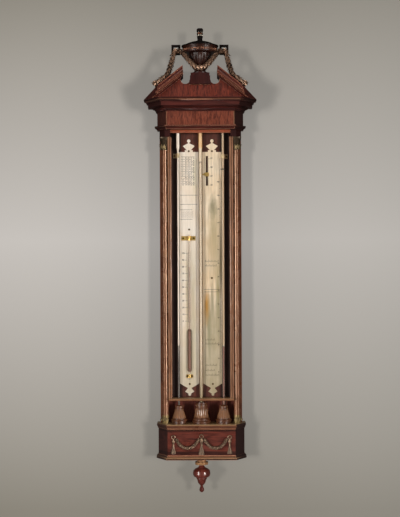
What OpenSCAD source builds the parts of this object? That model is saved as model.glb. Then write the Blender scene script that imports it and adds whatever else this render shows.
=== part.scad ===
/* [Case plan] */
// Half width of the box and the hood at their sides
case_x = 126; // [125:0.5:127]
// Half width of the flat front, where the splayed corners start
front_x = 98.6; // [98:0.2:99.6]
// Depth of the box and the hood from the wall to the flat front
case_d = 70; // [70:0.5:72]
// Depth of the straight sides behind the splayed corners
return_d = 30; // [29:0.5:31]
// Thickness of the box and hood walls
wall_t = 10; // [9:0.5:10.5]
// Half width of the trunk
trunk_x = 119.6; // [119.6:0.2:121]
// Depth of the trunk sides
trunk_d = 24.5; // [22:0.5:25]
// Half width of the open front of the trunk
opening_x = 85; // [84:0.5:86]
// Thickness of the backboard
back_t = 12; // [11:0.5:12.5]
// Width of the beaded stiles beside the open front
stile_w = 10.5; // [10:0.5:11]
// Depth of the front edge of the stiles
stile_d = 50; // [48:0.5:52]

/* [Heights above the underside] */
// Top of the base moulding
base_h = 13; // [12:0.5:14]
// Top of the box ledge
ledge_h = 102.5; // [102:0.5:103]
// Underside of the tube shelf
shelf_h = 169.5; // [169:0.5:171]
// Top of the capitals
impost_h = 940; // [936:1:942]
// Underside of the hood
soffit_h = 960.6; // [960:0.2:962]
// Bottom of the frieze
frieze_h = 972; // [971:0.5:973]
// Top of the frieze
cornice_h = 1012; // [1010:0.5:1013]
// Top of the level cornice
pediment_h = 1049; // [1048:0.5:1050]
// Height of the hanging hole
hang_h = 1009; // [1006:0.5:1010]

/* [Broken pediment and urn] */
// How far the cornice stands out from the frieze
cornice_p = 39; // [38:0.5:40]
// Slope of the raking cornices in degrees
rake_a = 38; // [37.5:0.25:38.5]
// Thickness of the raking cornices, square to the slope
rake_t = 16; // [15:0.5:16.5]
// Half gap between the raking cornices
gap_x = 50; // [49:0.5:51]
// Radius of the round notches beside the urn plinth
notch_r = 13.9; // [13:0.1:14]
// Largest radius of the urn rim
urn_r = 51; // [50.5:0.25:51.5]
// Number of lobes round the urn bowl
lobe_n = 16; // [12:1:20]
// Outer width of the square urn handles
handle_w = 26.2; // [25:0.2:27]

/* [Columns] */
// Distance of the column axes from the middle
column_x = 104.8; // [104.8:0.1:105.4]
// Depth of the column axes
column_y = 37.5; // [37:0.25:38]
// Radius of the columns at the foot
column_r = 9.2; // [8.8:0.1:9.2]
// Number of leaves in each ring of a capital
leaf_n = 8; // [6:1:10]

/* [Instruments] */
// Width of each scale plate
plate_w = 56.5; // [55:0.5:57]
// Distance of the plate centre lines from the middle
plate_x = 34.1; // [33.8:0.1:34.4]
// Thickness of the scale plates
plate_t = 1.6; // [1.2:0.1:1.8]
// Distance of the outer tubes from the middle
tube_x = 66; // [65.5:0.25:66.25]
// Depth of the tube axes
tube_y = 28; // [27.5:0.25:28]
// Outer radius of the middle tube
tube_r = 5.6; // [5.4:0.1:5.7]
// Radius of the wide tube heads
head_r = 6.4; // [6.2:0.1:6.4]
// Height of the mercury in the middle tube
mercury_h = 872; // [800:1:890]
// Height of the pointer at rest
pointer_h = 832; // [831:0.5:834]

/* [Covers on the ledge] */
// Distance of the outer covers from the middle
cover_x = 65; // [64.5:0.25:65.5]
// Depth of the cover axes
cover_y = 41; // [41:0.25:41.5]
// Height of the outer covers
side_cover_h = 53.8; // [53:0.2:56]
// Height of the middle cover
mid_cover_h = 61.4; // [60:0.2:63]

/* [Hidden] */
$fn = 64;

mahogany = "#5b2a1b";
veneer = "#7a3d22";
dark_wood = "#3a1a12";
gilt = "#8a6f3e";
brass = "#b3924a";
pewter = "#cfc9b4";
glass = "#d9dccf";
spirit = "#5a1f14";
quicksilver = "#c9ccd0";
bronze = "#7d5a38";

// The splayed corner and how its two ends travel as a moulding grows outwards
cant_a = atan2(case_d - return_d, case_x - front_x);
grow_front = (1 - cos(cant_a)) / sin(cant_a);
grow_side = (1 - sin(cant_a)) / cos(cant_a);

rake_x = case_x + cornice_p;
rake_foot_x = rake_x - rake_t / sin(rake_a);
notch_x = gap_x - 7;
notch_h = pediment_h + 56;
plinth_h = pediment_h + 40;
plinth_x = 31;
plinth_top = 1113.2;
socle_top = 1124.8;
urn_y = 55;
knot_at = [71, -urn_y - 11, 1186];
bowl_h0 = 1136;
rim_h0 = 1180;
rim_h1 = 1201;

column_top = 902;
shelf_t = 6.5;
board_d = back_t + 6.4;
plate_d = board_d + plate_t;
plate_top = 898;
plate_foot = 216.6;
slot_x = 19.1;
slot_w = 5.9;
slot_h0 = 798.8;
slot_h1 = 886.3;
bulb_h0 = 252;
bulb_h1 = 374;
thermo_y = plate_d + 5.1;
clip_h = 644;
lower_clip_h = 238.3;
tube_clip_h = [886.6, 884];
cup_r = 12;
chamber_r = 8;
bend_h = 90;
leg_r = 3.2;
oil_r = 4.6;
head_h = 900;
tube_top = 957;
gap = 0.1;
// Half length of the boards that a moulding's runs are cut from
inward = 300;

screw_spots = [
    for (s = [-1, 1]) for (z = [plate_top + 2.5, plate_foot - 1.6]) [s * plate_x, plate_d, z],
    [-plate_x, plate_d, 669.8],
    [plate_x - 1.7, plate_d, 527],
    for (x = [-51.5, -20.6]) [x, plate_d + 1.2, clip_h],
    for (s = [-1, 1]) [-plate_x + s * 6.8, plate_d + 1.2, lower_clip_h],
    for (i = [0, 1]) [(2 * i - 1) * (tube_x + 10.5), board_d + 1.2, tube_clip_h[i]]
];

// The whole object is measured up from its underside and hung from its hanging hole
module hung() {
    translate([0, 0, -hang_h]) children();
}

// Case outline in plan, moved outwards by p on its three front faces
function plan(p) = [
    [case_x + p, 0],
    [case_x + p, -(return_d + p * grow_side)],
    [front_x + p * grow_front, -(case_d + p)],
    [-(front_x + p * grow_front), -(case_d + p)],
    [-(case_x + p), -(return_d + p * grow_side)],
    [-(case_x + p), 0]
];

// A flat board with the case outline between two heights
module plan_board(p, z0, z1) {
    translate([0, 0, z0]) linear_extrude(z1 - z0) polygon(plan(p));
}

// A moulded board mitred round the sides, splayed corners and front.
// The child is its section: outwards from the case face along x, height along y. It reaches
// far inwards, and the five runs cut one another to their mitres.
module mitred() {
    cant_reach = case_x * sin(cant_a) + return_d * cos(cant_a);
    runs = [
        [0, case_x], [cant_a - 90, cant_reach], [-90, case_d], [-90 - cant_a, cant_reach],
        [180, case_x]
    ];
    intersection() {
        intersection_for (run = runs)
            rotate([0, 0, run[0]])
            translate([run[1], 0, 0])
            rotate([90, 0, 0])
            linear_extrude(2 * inward, center = true)
            children();
        block([-inward, -inward, -10], [inward, 0, 1200]);
    }
}

// Points along an arc in a section
function arc(x, y, r, a0, a1, n) = [
    for (i = [0:n]) let (a = a0 + (a1 - a0) * i / n) [x + r * cos(a), y + r * sin(a)]
];

// A board in a moulding's section, from far inside to x, between two heights
module board_section(x, z0, z1) {
    translate([-inward, z0]) square([inward + x, z1 - z0]);
}

// A board standing parallel to the wall, drawn from the front, from depth y0 to y1
module upright(y0, y1) {
    translate([0, -y0, 0]) rotate([90, 0, 0]) linear_extrude(y1 - y0) children();
}

// A box from its two corners
module block(low, high) {
    translate(low) cube(high - low);
}

// A turned piece on an upright axis, its half section drawn as radius and height
module turned(x, y) {
    translate([x, -y, 0]) rotate_extrude() children();
}

module mirrored(s) {
    if (s < 0) mirror([1, 0, 0]) children();
    else children();
}

// Smooth curve through hand-chosen points
function curve_at(p, i, t) =
    let (
        a = p[max(i - 1, 0)],
        b = p[i],
        c = p[i + 1],
        d = p[min(i + 2, len(p) - 1)]
    )
    0.5 * (2 * b + (c - a) * t + (2 * a - 5 * b + 4 * c - d) * t * t
        + (3 * b - a - 3 * c + d) * t * t * t);
function smooth(p, steps) = [
    for (i = [0:len(p) - 2]) for (k = [0:steps - 1]) curve_at(p, i, k / steps),
    p[len(p) - 1]
];
function unit(v) = v / norm(v);

// A carved rope along a path, its radius given at each point
module rope(path, radii, sides = 8) {
    n = len(path);
    rings = [
        for (i = [0:n - 1])
            let (
                along = unit(path[min(i + 1, n - 1)] - path[max(i - 1, 0)]),
                u = unit(cross(along, [0, 1, 0])),
                v = cross(along, u)
            )
            for (k = [0:sides - 1])
                path[i] + radii[i] * (cos(360 * k / sides) * u + sin(360 * k / sides) * v)
    ];
    polyhedron(
        points = concat(rings, [path[0], path[n - 1]]),
        faces = [
            for (i = [0:n - 2]) for (k = [0:sides - 1])
                [i * sides + k, (i + 1) * sides + k, i * sides + (k + 1) % sides],
            for (i = [0:n - 2]) for (k = [0:sides - 1])
                [(i + 1) * sides + k, (i + 1) * sides + (k + 1) % sides, i * sides + (k + 1) % sides],
            for (k = [0:sides - 1]) [n * sides, k, (k + 1) % sides],
            for (k = [0:sides - 1])
                [n * sides + 1, (n - 1) * sides + (k + 1) % sides, (n - 1) * sides + k]
        ]
    );
}

// Radius that swells once for each bunch of leaves along a garland
function bunches(n, count, r, swell, tip) = [
    for (i = [0:n])
        let (t = i / n, ends = min(1, 8 * min(t, 1 - t)))
        (r + swell * abs(sin(180 * count * t))) * (tip + (1 - tip) * ends)
];

module backboard() {
    color(dark_wood) hung() difference() {
        union() {
            block([-case_x + wall_t, -back_t, 10], [case_x - wall_t, 0, 93]);
            block([-opening_x - stile_w, -back_t, 93], [opening_x + stile_w, 0, frieze_h]);
            block([-case_x + wall_t, -back_t, frieze_h], [case_x - wall_t, 0, pediment_h - 10]);
        }
        block([-22, -2.5, hang_h - 14], [22, 1, hang_h + 14]);
        translate([0, 1, hang_h]) rotate([90, 0, 0]) cylinder(r = 11, h = back_t + 2);
        for (x = [-16, 16])
            translate([x, 0, hang_h]) rotate([90, 0, 0]) cylinder(r = 1.9, h = 9);
    }
}

module hanging_plate() {
    color(brass) difference() {
        translate([-22, -2.5, -14]) cube([44, 2.5, 28]);
        translate([0, 1, 0]) rotate([90, 0, 0]) cylinder(r = 5, h = 5);
        for (x = [-16, 16]) translate([x, 1, 0]) rotate([90, 0, 0]) cylinder(r = 1.9, h = 5);
    }
}

module hanging_screws() {
    color(brass) for (x = [-16, 16])
        translate([x, 0, 0]) rotate([90, 0, 0]) cylinder(r = 1.8, h = 8.5);
}

module trunk_side(s) {
    color(mahogany) hung() mirrored(s)
        block([opening_x + stile_w, -trunk_d, ledge_h], [trunk_x, 0, soffit_h]);
}

module trunk_side_left() {
    trunk_side(-1);
}

module trunk_side_right() {
    trunk_side(1);
}

// Stile with a rounded bead and a quirk along its front edge
module stile(s) {
    z0 = shelf_h + shelf_t;
    color(mahogany) hung() mirrored(s) translate([0, 0, z0]) linear_extrude(impost_h - z0) {
        difference() {
            translate([opening_x, -stile_d + 2]) square([stile_w, stile_d - 2 - back_t]);
            translate([opening_x + 5.2, -stile_d]) square([1.2, 4]);
        }
        translate([opening_x + 2.6, -stile_d + 2.6]) circle(2.6);
        translate([opening_x + 6.4, -stile_d + 0.6]) square([stile_w - 6.4, 3]);
    }
}

module stile_left() {
    stile(-1);
}

module stile_right() {
    stile(1);
}

module scale_board() {
    z0 = shelf_h + shelf_t;
    color(dark_wood) hung() difference() {
        block([-opening_x + gap, -board_d, z0], [opening_x - gap, -back_t, soffit_h]);
        block([slot_x - 8, -board_d - 1, slot_h0 - 8], [slot_x + 8, -board_d + 4, slot_h1 + 8]);
        for (p = screw_spots)
            translate([p.x, -board_d - 1, p.z]) rotate([-90, 0, 0]) cylinder(r = 1.5, h = 6.4);
    }
}

module top_rail() {
    color(veneer) hung() difference() {
        block([-opening_x - 3, -stile_d, soffit_h - 8.6], [opening_x + 3, -stile_d + 11, soffit_h]);
        translate([0, -stile_d - 1.4, soffit_h - 8.6]) rotate([0, 90, 0])
            cylinder(r = 4, h = 2 * opening_x + 20, center = true);
    }
}

module shelf_notch(x, r) {
    translate([x, -tube_y]) circle(r);
    translate([x - r, -tube_y]) square([2 * r, tube_y]);
}

module tube_shelf() {
    x1 = opening_x + stile_w;
    color(mahogany) hung() {
        translate([0, 0, shelf_h]) linear_extrude(shelf_t) difference() {
            translate([-x1, -stile_d - 2]) square([2 * x1, stile_d + 2 - back_t]);
            shelf_notch(-tube_x, leg_r + 1);
            shelf_notch(0, tube_r + 1);
            shelf_notch(tube_x, oil_r + 1);
        }
        translate([0, -stile_d - 2, shelf_h + shelf_t / 2]) rotate([0, 90, 0])
            cylinder(r = shelf_t / 2, h = 2 * x1, center = true);
    }
}

module column(s) {
    r2 = column_r - 1.2;
    color(mahogany) hung() turned(s * column_x, column_y) {
        polygon([
            [0, ledge_h + 24], [column_r, ledge_h + 24], [column_r, 300],
            [column_r - 0.5, 620], [r2, column_top], [0, column_top]
        ]);
        translate([0, column_top - 6]) square([r2 + 0.6, 1.6]);
    }
}

module column_left() {
    column(-1);
}

module column_right() {
    column(1);
}

// Two tori with a hollow between them on a round plinth
module column_base(s) {
    color(gilt) hung() turned(s * column_x, column_y) {
        translate([0, ledge_h]) difference() {
            square([10, 24]);
            translate([12.4, 14]) circle(3.6);
        }
        translate([7.4, ledge_h + 5.5]) circle(3.2);
        translate([7.3, ledge_h + 20]) circle(2.6);
    }
}

module column_base_left() {
    column_base(-1);
}

module column_base_right() {
    column_base(1);
}

// A ring of upright leaves with curled tips, parted by narrow tapering gaps
module leaf_ring(r0, r1, z0, h, turn) {
    difference() {
        rotate_extrude() difference() {
            union() {
                polygon([[0, z0], [r0, z0], [r1 - 1.2, z0 + h * 0.8], [r1, z0 + h], [0, z0 + h]]);
                translate([r1 - 1.7, z0 + h - 1.7]) circle(1.9);
            }
            translate([-10, z0 - 10]) square([10, h + 20]);
        }
        for (i = [0:leaf_n - 1])
            rotate([0, 0, turn + i * 360 / leaf_n]) {
                translate([r0 - 0.2, -0.5, z0 + 2.5]) cube([r1, 1, h]);
                translate([r0 + 0.4, 0, z0 + h + 0.6]) rotate([0, 90, 0]) rotate([0, 0, 45])
                    translate([-2, -2, 0]) cube([4, 4, r1]);
            }
    }
}

// Capital with two rings of leaves under a hollow-sided top slab, cut to sit in the angle
// between the stile and the trunk side
module capital(s) {
    slab_h = 33.4;
    slab_w = 28.8;
    color(gilt) hung() mirrored(s) difference() {
        translate([column_x, -column_y, column_top]) {
            rotate_extrude() polygon([[0, 0], [9.4, 0], [10, 1.2], [9.4, 2.4], [8.8, 3],
                [8.8, 22], [12.6, slab_h], [0, slab_h]]);
            leaf_ring(9.4, 13, 3, 15, 0);
            leaf_ring(10, 14.4, 16.6, 14.4, 180 / leaf_n);
            translate([0, 0, slab_h]) difference() {
                translate([-slab_w / 2, -slab_w / 2, 0])
                    cube([slab_w, slab_w, impost_h - column_top - slab_h]);
                for (i = [0:3]) rotate([0, 0, 90 * i])
                    translate([0, -40.5, -1]) cylinder(r = 28, h = 8);
            }
        }
        block([opening_x, -60, column_top - 10], [opening_x + stile_w, 0, impost_h + 10]);
        block([opening_x, -trunk_d, column_top - 10], [trunk_x + 20, 0, impost_h + 10]);
    }
}

module capital_left() {
    capital(-1);
}

module capital_right() {
    capital(1);
}

module impost_blocks() {
    color(mahogany) hung() for (s = [-1, 1]) mirrored(s)
        translate([0, 0, impost_h]) linear_extrude(soffit_h - impost_h) polygon([
            [opening_x + 3, -board_d], [opening_x + 3, -stile_d - 3.5], [104, -stile_d - 3.5],
            [trunk_x, -trunk_d - 7], [trunk_x, -trunk_d], [opening_x + stile_w, -trunk_d],
            [opening_x + stile_w, -board_d]
        ]);
}

module architrave() {
    color(mahogany) hung() difference() {
        mitred() difference() {
            board_section(7.6, soffit_h, frieze_h);
            translate([9.4, soffit_h - 0.6]) circle(8.6);
        }
        block([-opening_x - stile_w, -back_t, soffit_h - 1], [opening_x + stile_w, 1, frieze_h + 1]);
    }
}

module frieze() {
    color(veneer) hung() difference() {
        plan_board(0, frieze_h, cornice_h);
        plan_board(-wall_t, frieze_h - 1, cornice_h + 1);
        block([-case_x + wall_t, -1, frieze_h - 1], [case_x - wall_t, 5, cornice_h + 1]);
    }
}

// Bed moulding, corona with its drip, and a hollow topped by a fillet
module cornice_section() {
    board_section(2, cornice_h, cornice_h + 3);
    difference() {
        board_section(14, cornice_h + 2, cornice_h + 14);
        translate([14.6, cornice_h + 1.6]) circle(10.4);
    }
    board_section(27, cornice_h + 14, cornice_h + 26);
    difference() {
        board_section(cornice_p, cornice_h + 26, pediment_h);
        translate([cornice_p + 0.8, cornice_h + 26]) circle(8.2);
    }
}

module cornice() {
    color(mahogany) hung() difference() {
        mitred() cornice_section();
        plan_board(-wall_t, cornice_h - 1, pediment_h - 10);
        block([-case_x + wall_t, -1, cornice_h - 1], [case_x - wall_t, 5, pediment_h - 10]);
    }
}

// The two keyhole notches beside the plinth, drawn from the front
module notches() {
    for (s = [-1, 1]) {
        translate([s * notch_x, notch_h]) circle(notch_r);
        translate([s > 0 ? notch_x - notch_r : -gap_x, notch_h])
            square([gap_x - notch_x + notch_r, 90]);
    }
}

module pediment_face() {
    difference() {
        polygon([
            [-rake_foot_x, pediment_h], [rake_foot_x, pediment_h],
            [0, pediment_h + rake_foot_x * tan(rake_a)]
        ]);
        notches();
        translate([-plinth_x, plinth_h]) square([2 * plinth_x, 100]);
    }
}

module tympanum() {
    color(veneer) hung() upright(case_d - 14, case_d) pediment_face();
}

module pediment_back() {
    color(dark_wood) hung() upright(0, back_t) pediment_face();
}

// Section of the raking cornice, square to the slope: depth along x, height along y.
// A small bed moulding runs under it, against the pediment face.
module rake_section() {
    front = case_d + cornice_p;
    bed = 11;
    difference() {
        translate([-front, -rake_t]) square([front, rake_t]);
        translate([-front - 1, -rake_t - 1]) square([13, 7]);
        translate([-front - 0.6, -10]) circle(6.6);
    }
    difference() {
        translate([-case_d - bed, -rake_t - 5.5]) square([bed, 6.5]);
        translate([-case_d - bed, -rake_t - 6.5]) circle(5.2);
    }
}

module raking_cornice(s) {
    color(mahogany) hung() mirrored(s) difference() {
        intersection() {
            translate([rake_x, 0, pediment_h])
                rotate([0, rake_a, 0])
                translate([-260, 0, 0])
                rotate([90, 0, 90])
                linear_extrude(300)
                rake_section();
            intersection() {
                plan_board(cornice_p, pediment_h, 1250);
                block([gap_x, -200, pediment_h], [300, 1, 1250]);
            }
        }
        upright(case_d - 1, case_d + 20) translate([notch_x, notch_h]) circle(notch_r);
    }
}

module raking_cornice_left() {
    raking_cornice(-1);
}

module raking_cornice_right() {
    raking_cornice(1);
}

module urn_plinth() {
    color(dark_wood) hung() {
        block([-plinth_x + 2, -case_d + 14, pediment_h], [plinth_x - 2, -back_t, plinth_h]);
        upright(back_t + 2, urn_y + 29) difference() {
            translate([-plinth_x, plinth_h]) square([2 * plinth_x, plinth_top - plinth_h]);
            notches();
        }
        block([-27.2, -urn_y - 27.2, plinth_top], [27.2, -urn_y + 27.2, socle_top - 3]);
        turned(0, urn_y) translate([0, socle_top - 3]) square([25, 3]);
    }
}

// Bowl radius at the fraction t of its height
function bowl_r(t) = 19.5 + 13 * sin(90 * min(1, 1.25 * t)) + 0.8 * t;

// Lobed bowl: each lobe is an arc round the bowl, with a crease between lobes
module lobed_bowl() {
    steps = 4;
    n = lobe_n * steps;
    rows = 8;
    ring = [
        for (j = [0:rows])
            let (t = j / rows, r = bowl_r(t), z = bowl_h0 + t * (rim_h0 - bowl_h0))
            for (i = [0:n - 1])
                let (a = 360 * i / n, dip = 1 - 0.075 * (1 - abs(sin(180 * i / steps))))
                [r * dip * cos(a), r * dip * sin(a), z]
    ];
    polyhedron(
        points = concat(ring, [[0, 0, bowl_h0], [0, 0, rim_h0]]),
        faces = [
            for (j = [0:rows - 1]) for (i = [0:n - 1])
                [j * n + i, (j + 1) * n + i, j * n + (i + 1) % n],
            for (j = [0:rows - 1]) for (i = [0:n - 1])
                [(j + 1) * n + i, (j + 1) * n + (i + 1) % n, j * n + (i + 1) % n],
            for (i = [0:n - 1]) [(rows + 1) * n, i, (i + 1) % n],
            for (i = [0:n - 1]) [(rows + 1) * n + 1, rows * n + (i + 1) % n, rows * n + i]
        ]
    );
}

module urn_body() {
    color(mahogany) hung() {
        turned(0, urn_y) {
            translate([0, socle_top]) difference() {
                square([18.6, bowl_h0 + 1 - socle_top]);
                translate([20.6, 7]) circle(4.4);
            }
            translate([0, rim_h0 - 1]) square([34, 2.5]);
            translate([0, rim_h0 + 1.5]) square([urn_r, rim_h1 - rim_h0 - 7.5]);
            translate([0, rim_h1 - 6]) square([urn_r - 2, 3]);
            translate([0, rim_h1 - 3]) square([urn_r, 3]);
        }
        translate([0, -urn_y, 0]) lobed_bowl();
    }
}

module urn_lid() {
    dome_r = 93.8;
    color(mahogany) hung() turned(0, urn_y) translate([0, rim_h1]) {
        square([urn_r + 2.9, 2.2]);
        intersection() {
            translate([0, 16.4 - dome_r]) circle(dome_r, $fn = 200);
            translate([0, 2.2]) square([50, 16]);
        }
        square([7.6, 17]);
    }
}

module urn_knob() {
    color(dark_wood) hung() turned(0, urn_y) translate([0, rim_h1 + 17]) {
        difference() {
            square([7.8, 9.5]);
            translate([10.8, 5]) circle(3.8);
        }
        translate([0, 9.5]) square([8.3, 10.5]);
        translate([0, 20]) square([9, 2.6]);
        translate([0, 22.6]) square([6.4, 7.4]);
        translate([0, 30]) square([9.6, 3.6]);
        intersection() {
            translate([0, 30]) circle(9.6);
            square([9.6, 36]);
        }
    }
}

// Square key handle: a square ring on a short arm that seats against the urn rim
module urn_handle(s) {
    x0 = 56.8;
    z1 = 1206.4;
    color(dark_wood) hung() mirrored(s) difference() {
        upright(urn_y - 4, urn_y + 4) {
            difference() {
                translate([x0, z1 - 29]) square([handle_w, 29]);
                translate([x0 + 6.4, z1 - 22.6]) square([handle_w - 12.8, 16.2]);
            }
            translate([44, z1 - 23]) square([x0 - 43, 7]);
        }
        translate([0, -urn_y, z1 - 40]) cylinder(r = urn_r + 0.05, h = 60);
    }
}

module urn_handle_left() {
    urn_handle(-1);
}

module urn_handle_right() {
    urn_handle(1);
}

// Height of the top of a raking cornice at distance x from the middle
function rake_top(x) = pediment_h + (rake_x - x) * tan(rake_a);

// Knot that ties the garlands to a handle, flat where it lies on the handle's face
module garland_knot(r) {
    translate(knot_at) sphere(r, $fn = 32);
}

// Laurel rope that hangs from its knot and comes to rest along the raking cornice
module garland(s) {
    rest = 10;
    route = [
        knot_at, [76.5, -67.6, 1176], [80.5, -70, 1161], [84, -77, 1146], [88, -85, 1131],
        [94, -91, rake_top(94) + rest + 0.6], [104, -94, rake_top(104) + rest],
        [115, -95, rake_top(115) + rest], [125, -95, rake_top(125) + rest]
    ];
    path = smooth(route, 5);
    color(gilt) hung() mirrored(s) difference() {
        union() {
            rope(path, bunches(len(path) - 1, 10, 6.4, 1.5, 0.7));
            garland_knot(9);
            translate([129.4, -95, rake_top(129.4) + 12.4]) sphere(9.6, $fn = 32);
        }
        block([40, -urn_y - 4, 1160], [110, 0, 1230]);
    }
}

module garland_left() {
    garland(-1);
}

module garland_right() {
    garland(1);
}

module garland_front() {
    half = [
        knot_at, [63, -71, 1185], [53.5, -80, 1180], [41.5, -86, 1167], [29.5, -88, 1152],
        [15.5, -86.5, 1140], [0, -85.5, 1136]
    ];
    route = concat(
        [for (p = half) [-p.x, p.y, p.z]],
        [for (i = [len(half) - 2:-1:0]) half[i]]
    );
    path = smooth(route, 4);
    color(gilt) hung() difference() {
        rope(path, bunches(len(path) - 1, 14, 6.2, 1.5, 0.8));
        for (s = [-1, 1]) mirrored(s) garland_knot(9);
    }
}

module box_case() {
    color(mahogany) hung() difference() {
        plan_board(0, base_h, 87);
        plan_board(-wall_t, base_h - 1, 88);
        block([-case_x + wall_t, -1, base_h - 1], [case_x - wall_t, 5, 88]);
    }
}

module box_ledge() {
    color(mahogany) hung() difference() {
        mitred() polygon(concat(
            [[-inward, 87], [0.4, 87]],
            arc(4.6, 86.6, 4.2, 170, 122, 5),
            [[2.4, 93]],
            arc(-1.5, (93 + ledge_h) / 2, 6.2, -46, 46, 6),
            [[2.4, ledge_h], [-inward, ledge_h]]
        ));
        plan_board(-wall_t, 86, 93);
        block([-case_x + wall_t, -1, 86], [case_x - wall_t, 5, 93]);
        block([-opening_x - stile_w, -back_t, 80], [opening_x + stile_w, 1, 120]);
        translate([0, 0, 80]) linear_extrude(40) {
            shelf_notch(-tube_x, leg_r + 0.6);
            shelf_notch(tube_x, leg_r + 0.6);
        }
    }
}

module box_base_moulding() {
    color(mahogany) hung() difference() {
        mitred() {
            board_section(0, 0, base_h);
            difference() {
                board_section(6, 0, base_h - 1);
                translate([9.2, base_h - 0.8]) circle(8);
            }
        }
        plan_board(-wall_t, -1, base_h + 1);
        block([-case_x + wall_t, -1, -1], [case_x - wall_t, 5, base_h + 1]);
    }
}

module box_bottom() {
    color(dark_wood) hung() plan_board(-wall_t, 0, 10);
}

// Rope swag hung between two rings on the flat front of the box
module swag(s) {
    path = [
        for (i = [0:20])
            let (u = i / 10 - 1)
            [s * (40.8 + 33 * u), -case_d - 3.6, 35.2 + 27.4 * pow(abs(u), 2.4)]
    ];
    color(gilt) hung() rope(path, bunches(20, 5, 2.8, 0.6, 0.6));
}

module swag_left() {
    swag(-1);
}

module swag_right() {
    swag(1);
}

// Half-round drop applied to the front, with a ring above it
module tassel(x, top, low, r) {
    translate([x, -case_d, 0]) {
        translate([0, 0, top + 5]) rotate([90, 0, 0])
            rotate_extrude() translate([5, 1.6]) circle(1.6);
        intersection() {
            rotate_extrude() {
                translate([0, low]) difference() {
                    square([r, top - low]);
                    translate([r * 0.36, (top - low) * 0.42]) square([r, (top - low) * 0.5]);
                }
                translate([0, top - 2]) intersection() {
                    circle(r * 0.62);
                    translate([0, -r]) square(2 * r);
                }
            }
            translate([-r - 4, -r - 4, 0]) cube([2 * r + 8, r + 4, 200]);
        }
    }
}

module tassels() {
    color(gilt) hung() {
        for (s = [-1, 1]) tassel(s * 81.6, 61.4, 17.4, 5.8);
        tassel(0, 63.6, 14.6, 7.6);
    }
}

module pendant_collar() {
    color(brass) hung() turned(0, 40) {
        translate([0, -17.6]) square([13, 17.6]);
        translate([0, -17.6]) square([18.9, 7.2]);
    }
}

module pendant() {
    color(mahogany) hung() turned(0, 40) {
        polygon([
            [0, -99.4], [3.4, -98.8], [6.4, -95.4], [7, -91], [5, -84.6], [3.4, -81.4],
            [4.6, -78.9], [10.2, -72.5], [13.2, -62.5], [15.6, -58.6], [15.6, -56.4],
            [22.5, -52.6], [24.6, -49], [25.4, -44.5], [24.4, -36.6], [20, -31.5],
            [10.2, -26.5], [6.7, -20.7], [6.2, -17.6], [0, -17.6]
        ]);
    }
}

// Scale plate outline, drawn about its own centre line, with a cresting and a drop
module plate_outline() {
    translate([-plate_w / 2, plate_foot]) square([plate_w, plate_top - plate_foot]);
    translate([-11.8, plate_top - 1]) square([23.6, 6.6]);
    polygon([[-4.5, 902], [4.5, 902], [17.7, 915.7], [0, 925], [-17.7, 915.7]]);
    translate([0, 921]) square([3.6, 10], center = true);
    translate([0, 930.5]) circle(5);
    polygon([
        [-plate_w / 2, plate_foot], [-16, 209], [-5, 203], [5, 203], [16, 209],
        [plate_w / 2, plate_foot]
    ]);
    polygon([[-4, 204], [-13.4, 192.7], [0, 184], [13.4, 192.7], [4, 204]]);
    translate([0, 184]) circle(4);
}

module thermometer_slot() {
    r = 6;
    translate([0, bulb_h0 - 1.8 + r]) circle(r);
    translate([0, bulb_h1 + 3 - r]) circle(r);
    translate([-r, bulb_h0 - 1.8 + r]) square([2 * r, bulb_h1 - bulb_h0 + 4.8 - 2 * r]);
}

module scale_plate_left() {
    color(pewter) hung() difference() {
        upright(board_d, plate_d) translate([-plate_x, 0]) difference() {
            plate_outline();
            thermometer_slot();
        }
        for (p = screw_spots)
            translate([p.x, -plate_d - 1, p.z]) rotate([-90, 0, 0]) cylinder(r = 1.5, h = 4);
    }
}

module scale_plate_right() {
    color(pewter) hung() difference() {
        upright(board_d, plate_d) difference() {
            translate([plate_x, 0]) plate_outline();
            translate([slot_x - slot_w / 2, slot_h0]) square([slot_w, slot_h1 - slot_h0]);
        }
        for (p = screw_spots)
            translate([p.x, -plate_d - 1, p.z]) rotate([-90, 0, 0]) cylinder(r = 1.5, h = 4);
    }
}

module brass_screws() {
    color(brass) hung() for (p = screw_spots)
        translate([p.x, -p.y, p.z]) rotate([90, 0, 0]) {
            difference() {
                cylinder(r = 2.7, h = 1.3);
                translate([-3, -0.3, 0.8]) cube([6, 0.6, 1]);
            }
            translate([0, 0, board_d - p.y - 4.6]) cylinder(r = 1.4, h = p.y - board_d + 5);
        }
}

// Strap round a tube with a foot screwed to the board
module tube_clip(i, r) {
    s = 2 * i - 1;
    z = tube_clip_h[i];
    hung() translate([0, 0, z - 6.5]) mirrored(s) difference() {
        union() {
            translate([tube_x, -tube_y, 0]) cylinder(r = r + 1.5, h = 13);
            translate([tube_x + r, -tube_y, 0]) cube([1.5, tube_y - board_d, 13]);
            translate([tube_x + r, -board_d - 1.2, 0]) cube([14 - r, 1.2, 13]);
        }
        translate([tube_x, -tube_y, -1]) cylinder(r = r, h = 15);
        translate([tube_x + 10.5, 0, 6.5]) rotate([90, 0, 0]) cylinder(r = 1.5, h = 40);
    }
}

module tube_clips() {
    color(brass) {
        tube_clip(0, leg_r + 0.15);
        tube_clip(1, oil_r + 0.15);
    }
}

module barometer_tube() {
    wall = 1.4;
    color(glass) hung() turned(0, tube_y) difference() {
        polygon([
            [0, 108], [tube_r, 108], [tube_r, head_h], [head_r, head_h + 9],
            [head_r, tube_top - 5], [head_r - 2.6, tube_top - 1], [0, tube_top]
        ]);
        polygon([
            [-1, 107], [tube_r - wall, 107], [tube_r - wall, head_h], [head_r - wall, head_h + 9],
            [head_r - wall, tube_top - 6], [head_r - 4, tube_top - 3], [-1, tube_top - 3]
        ]);
    }
}

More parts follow.
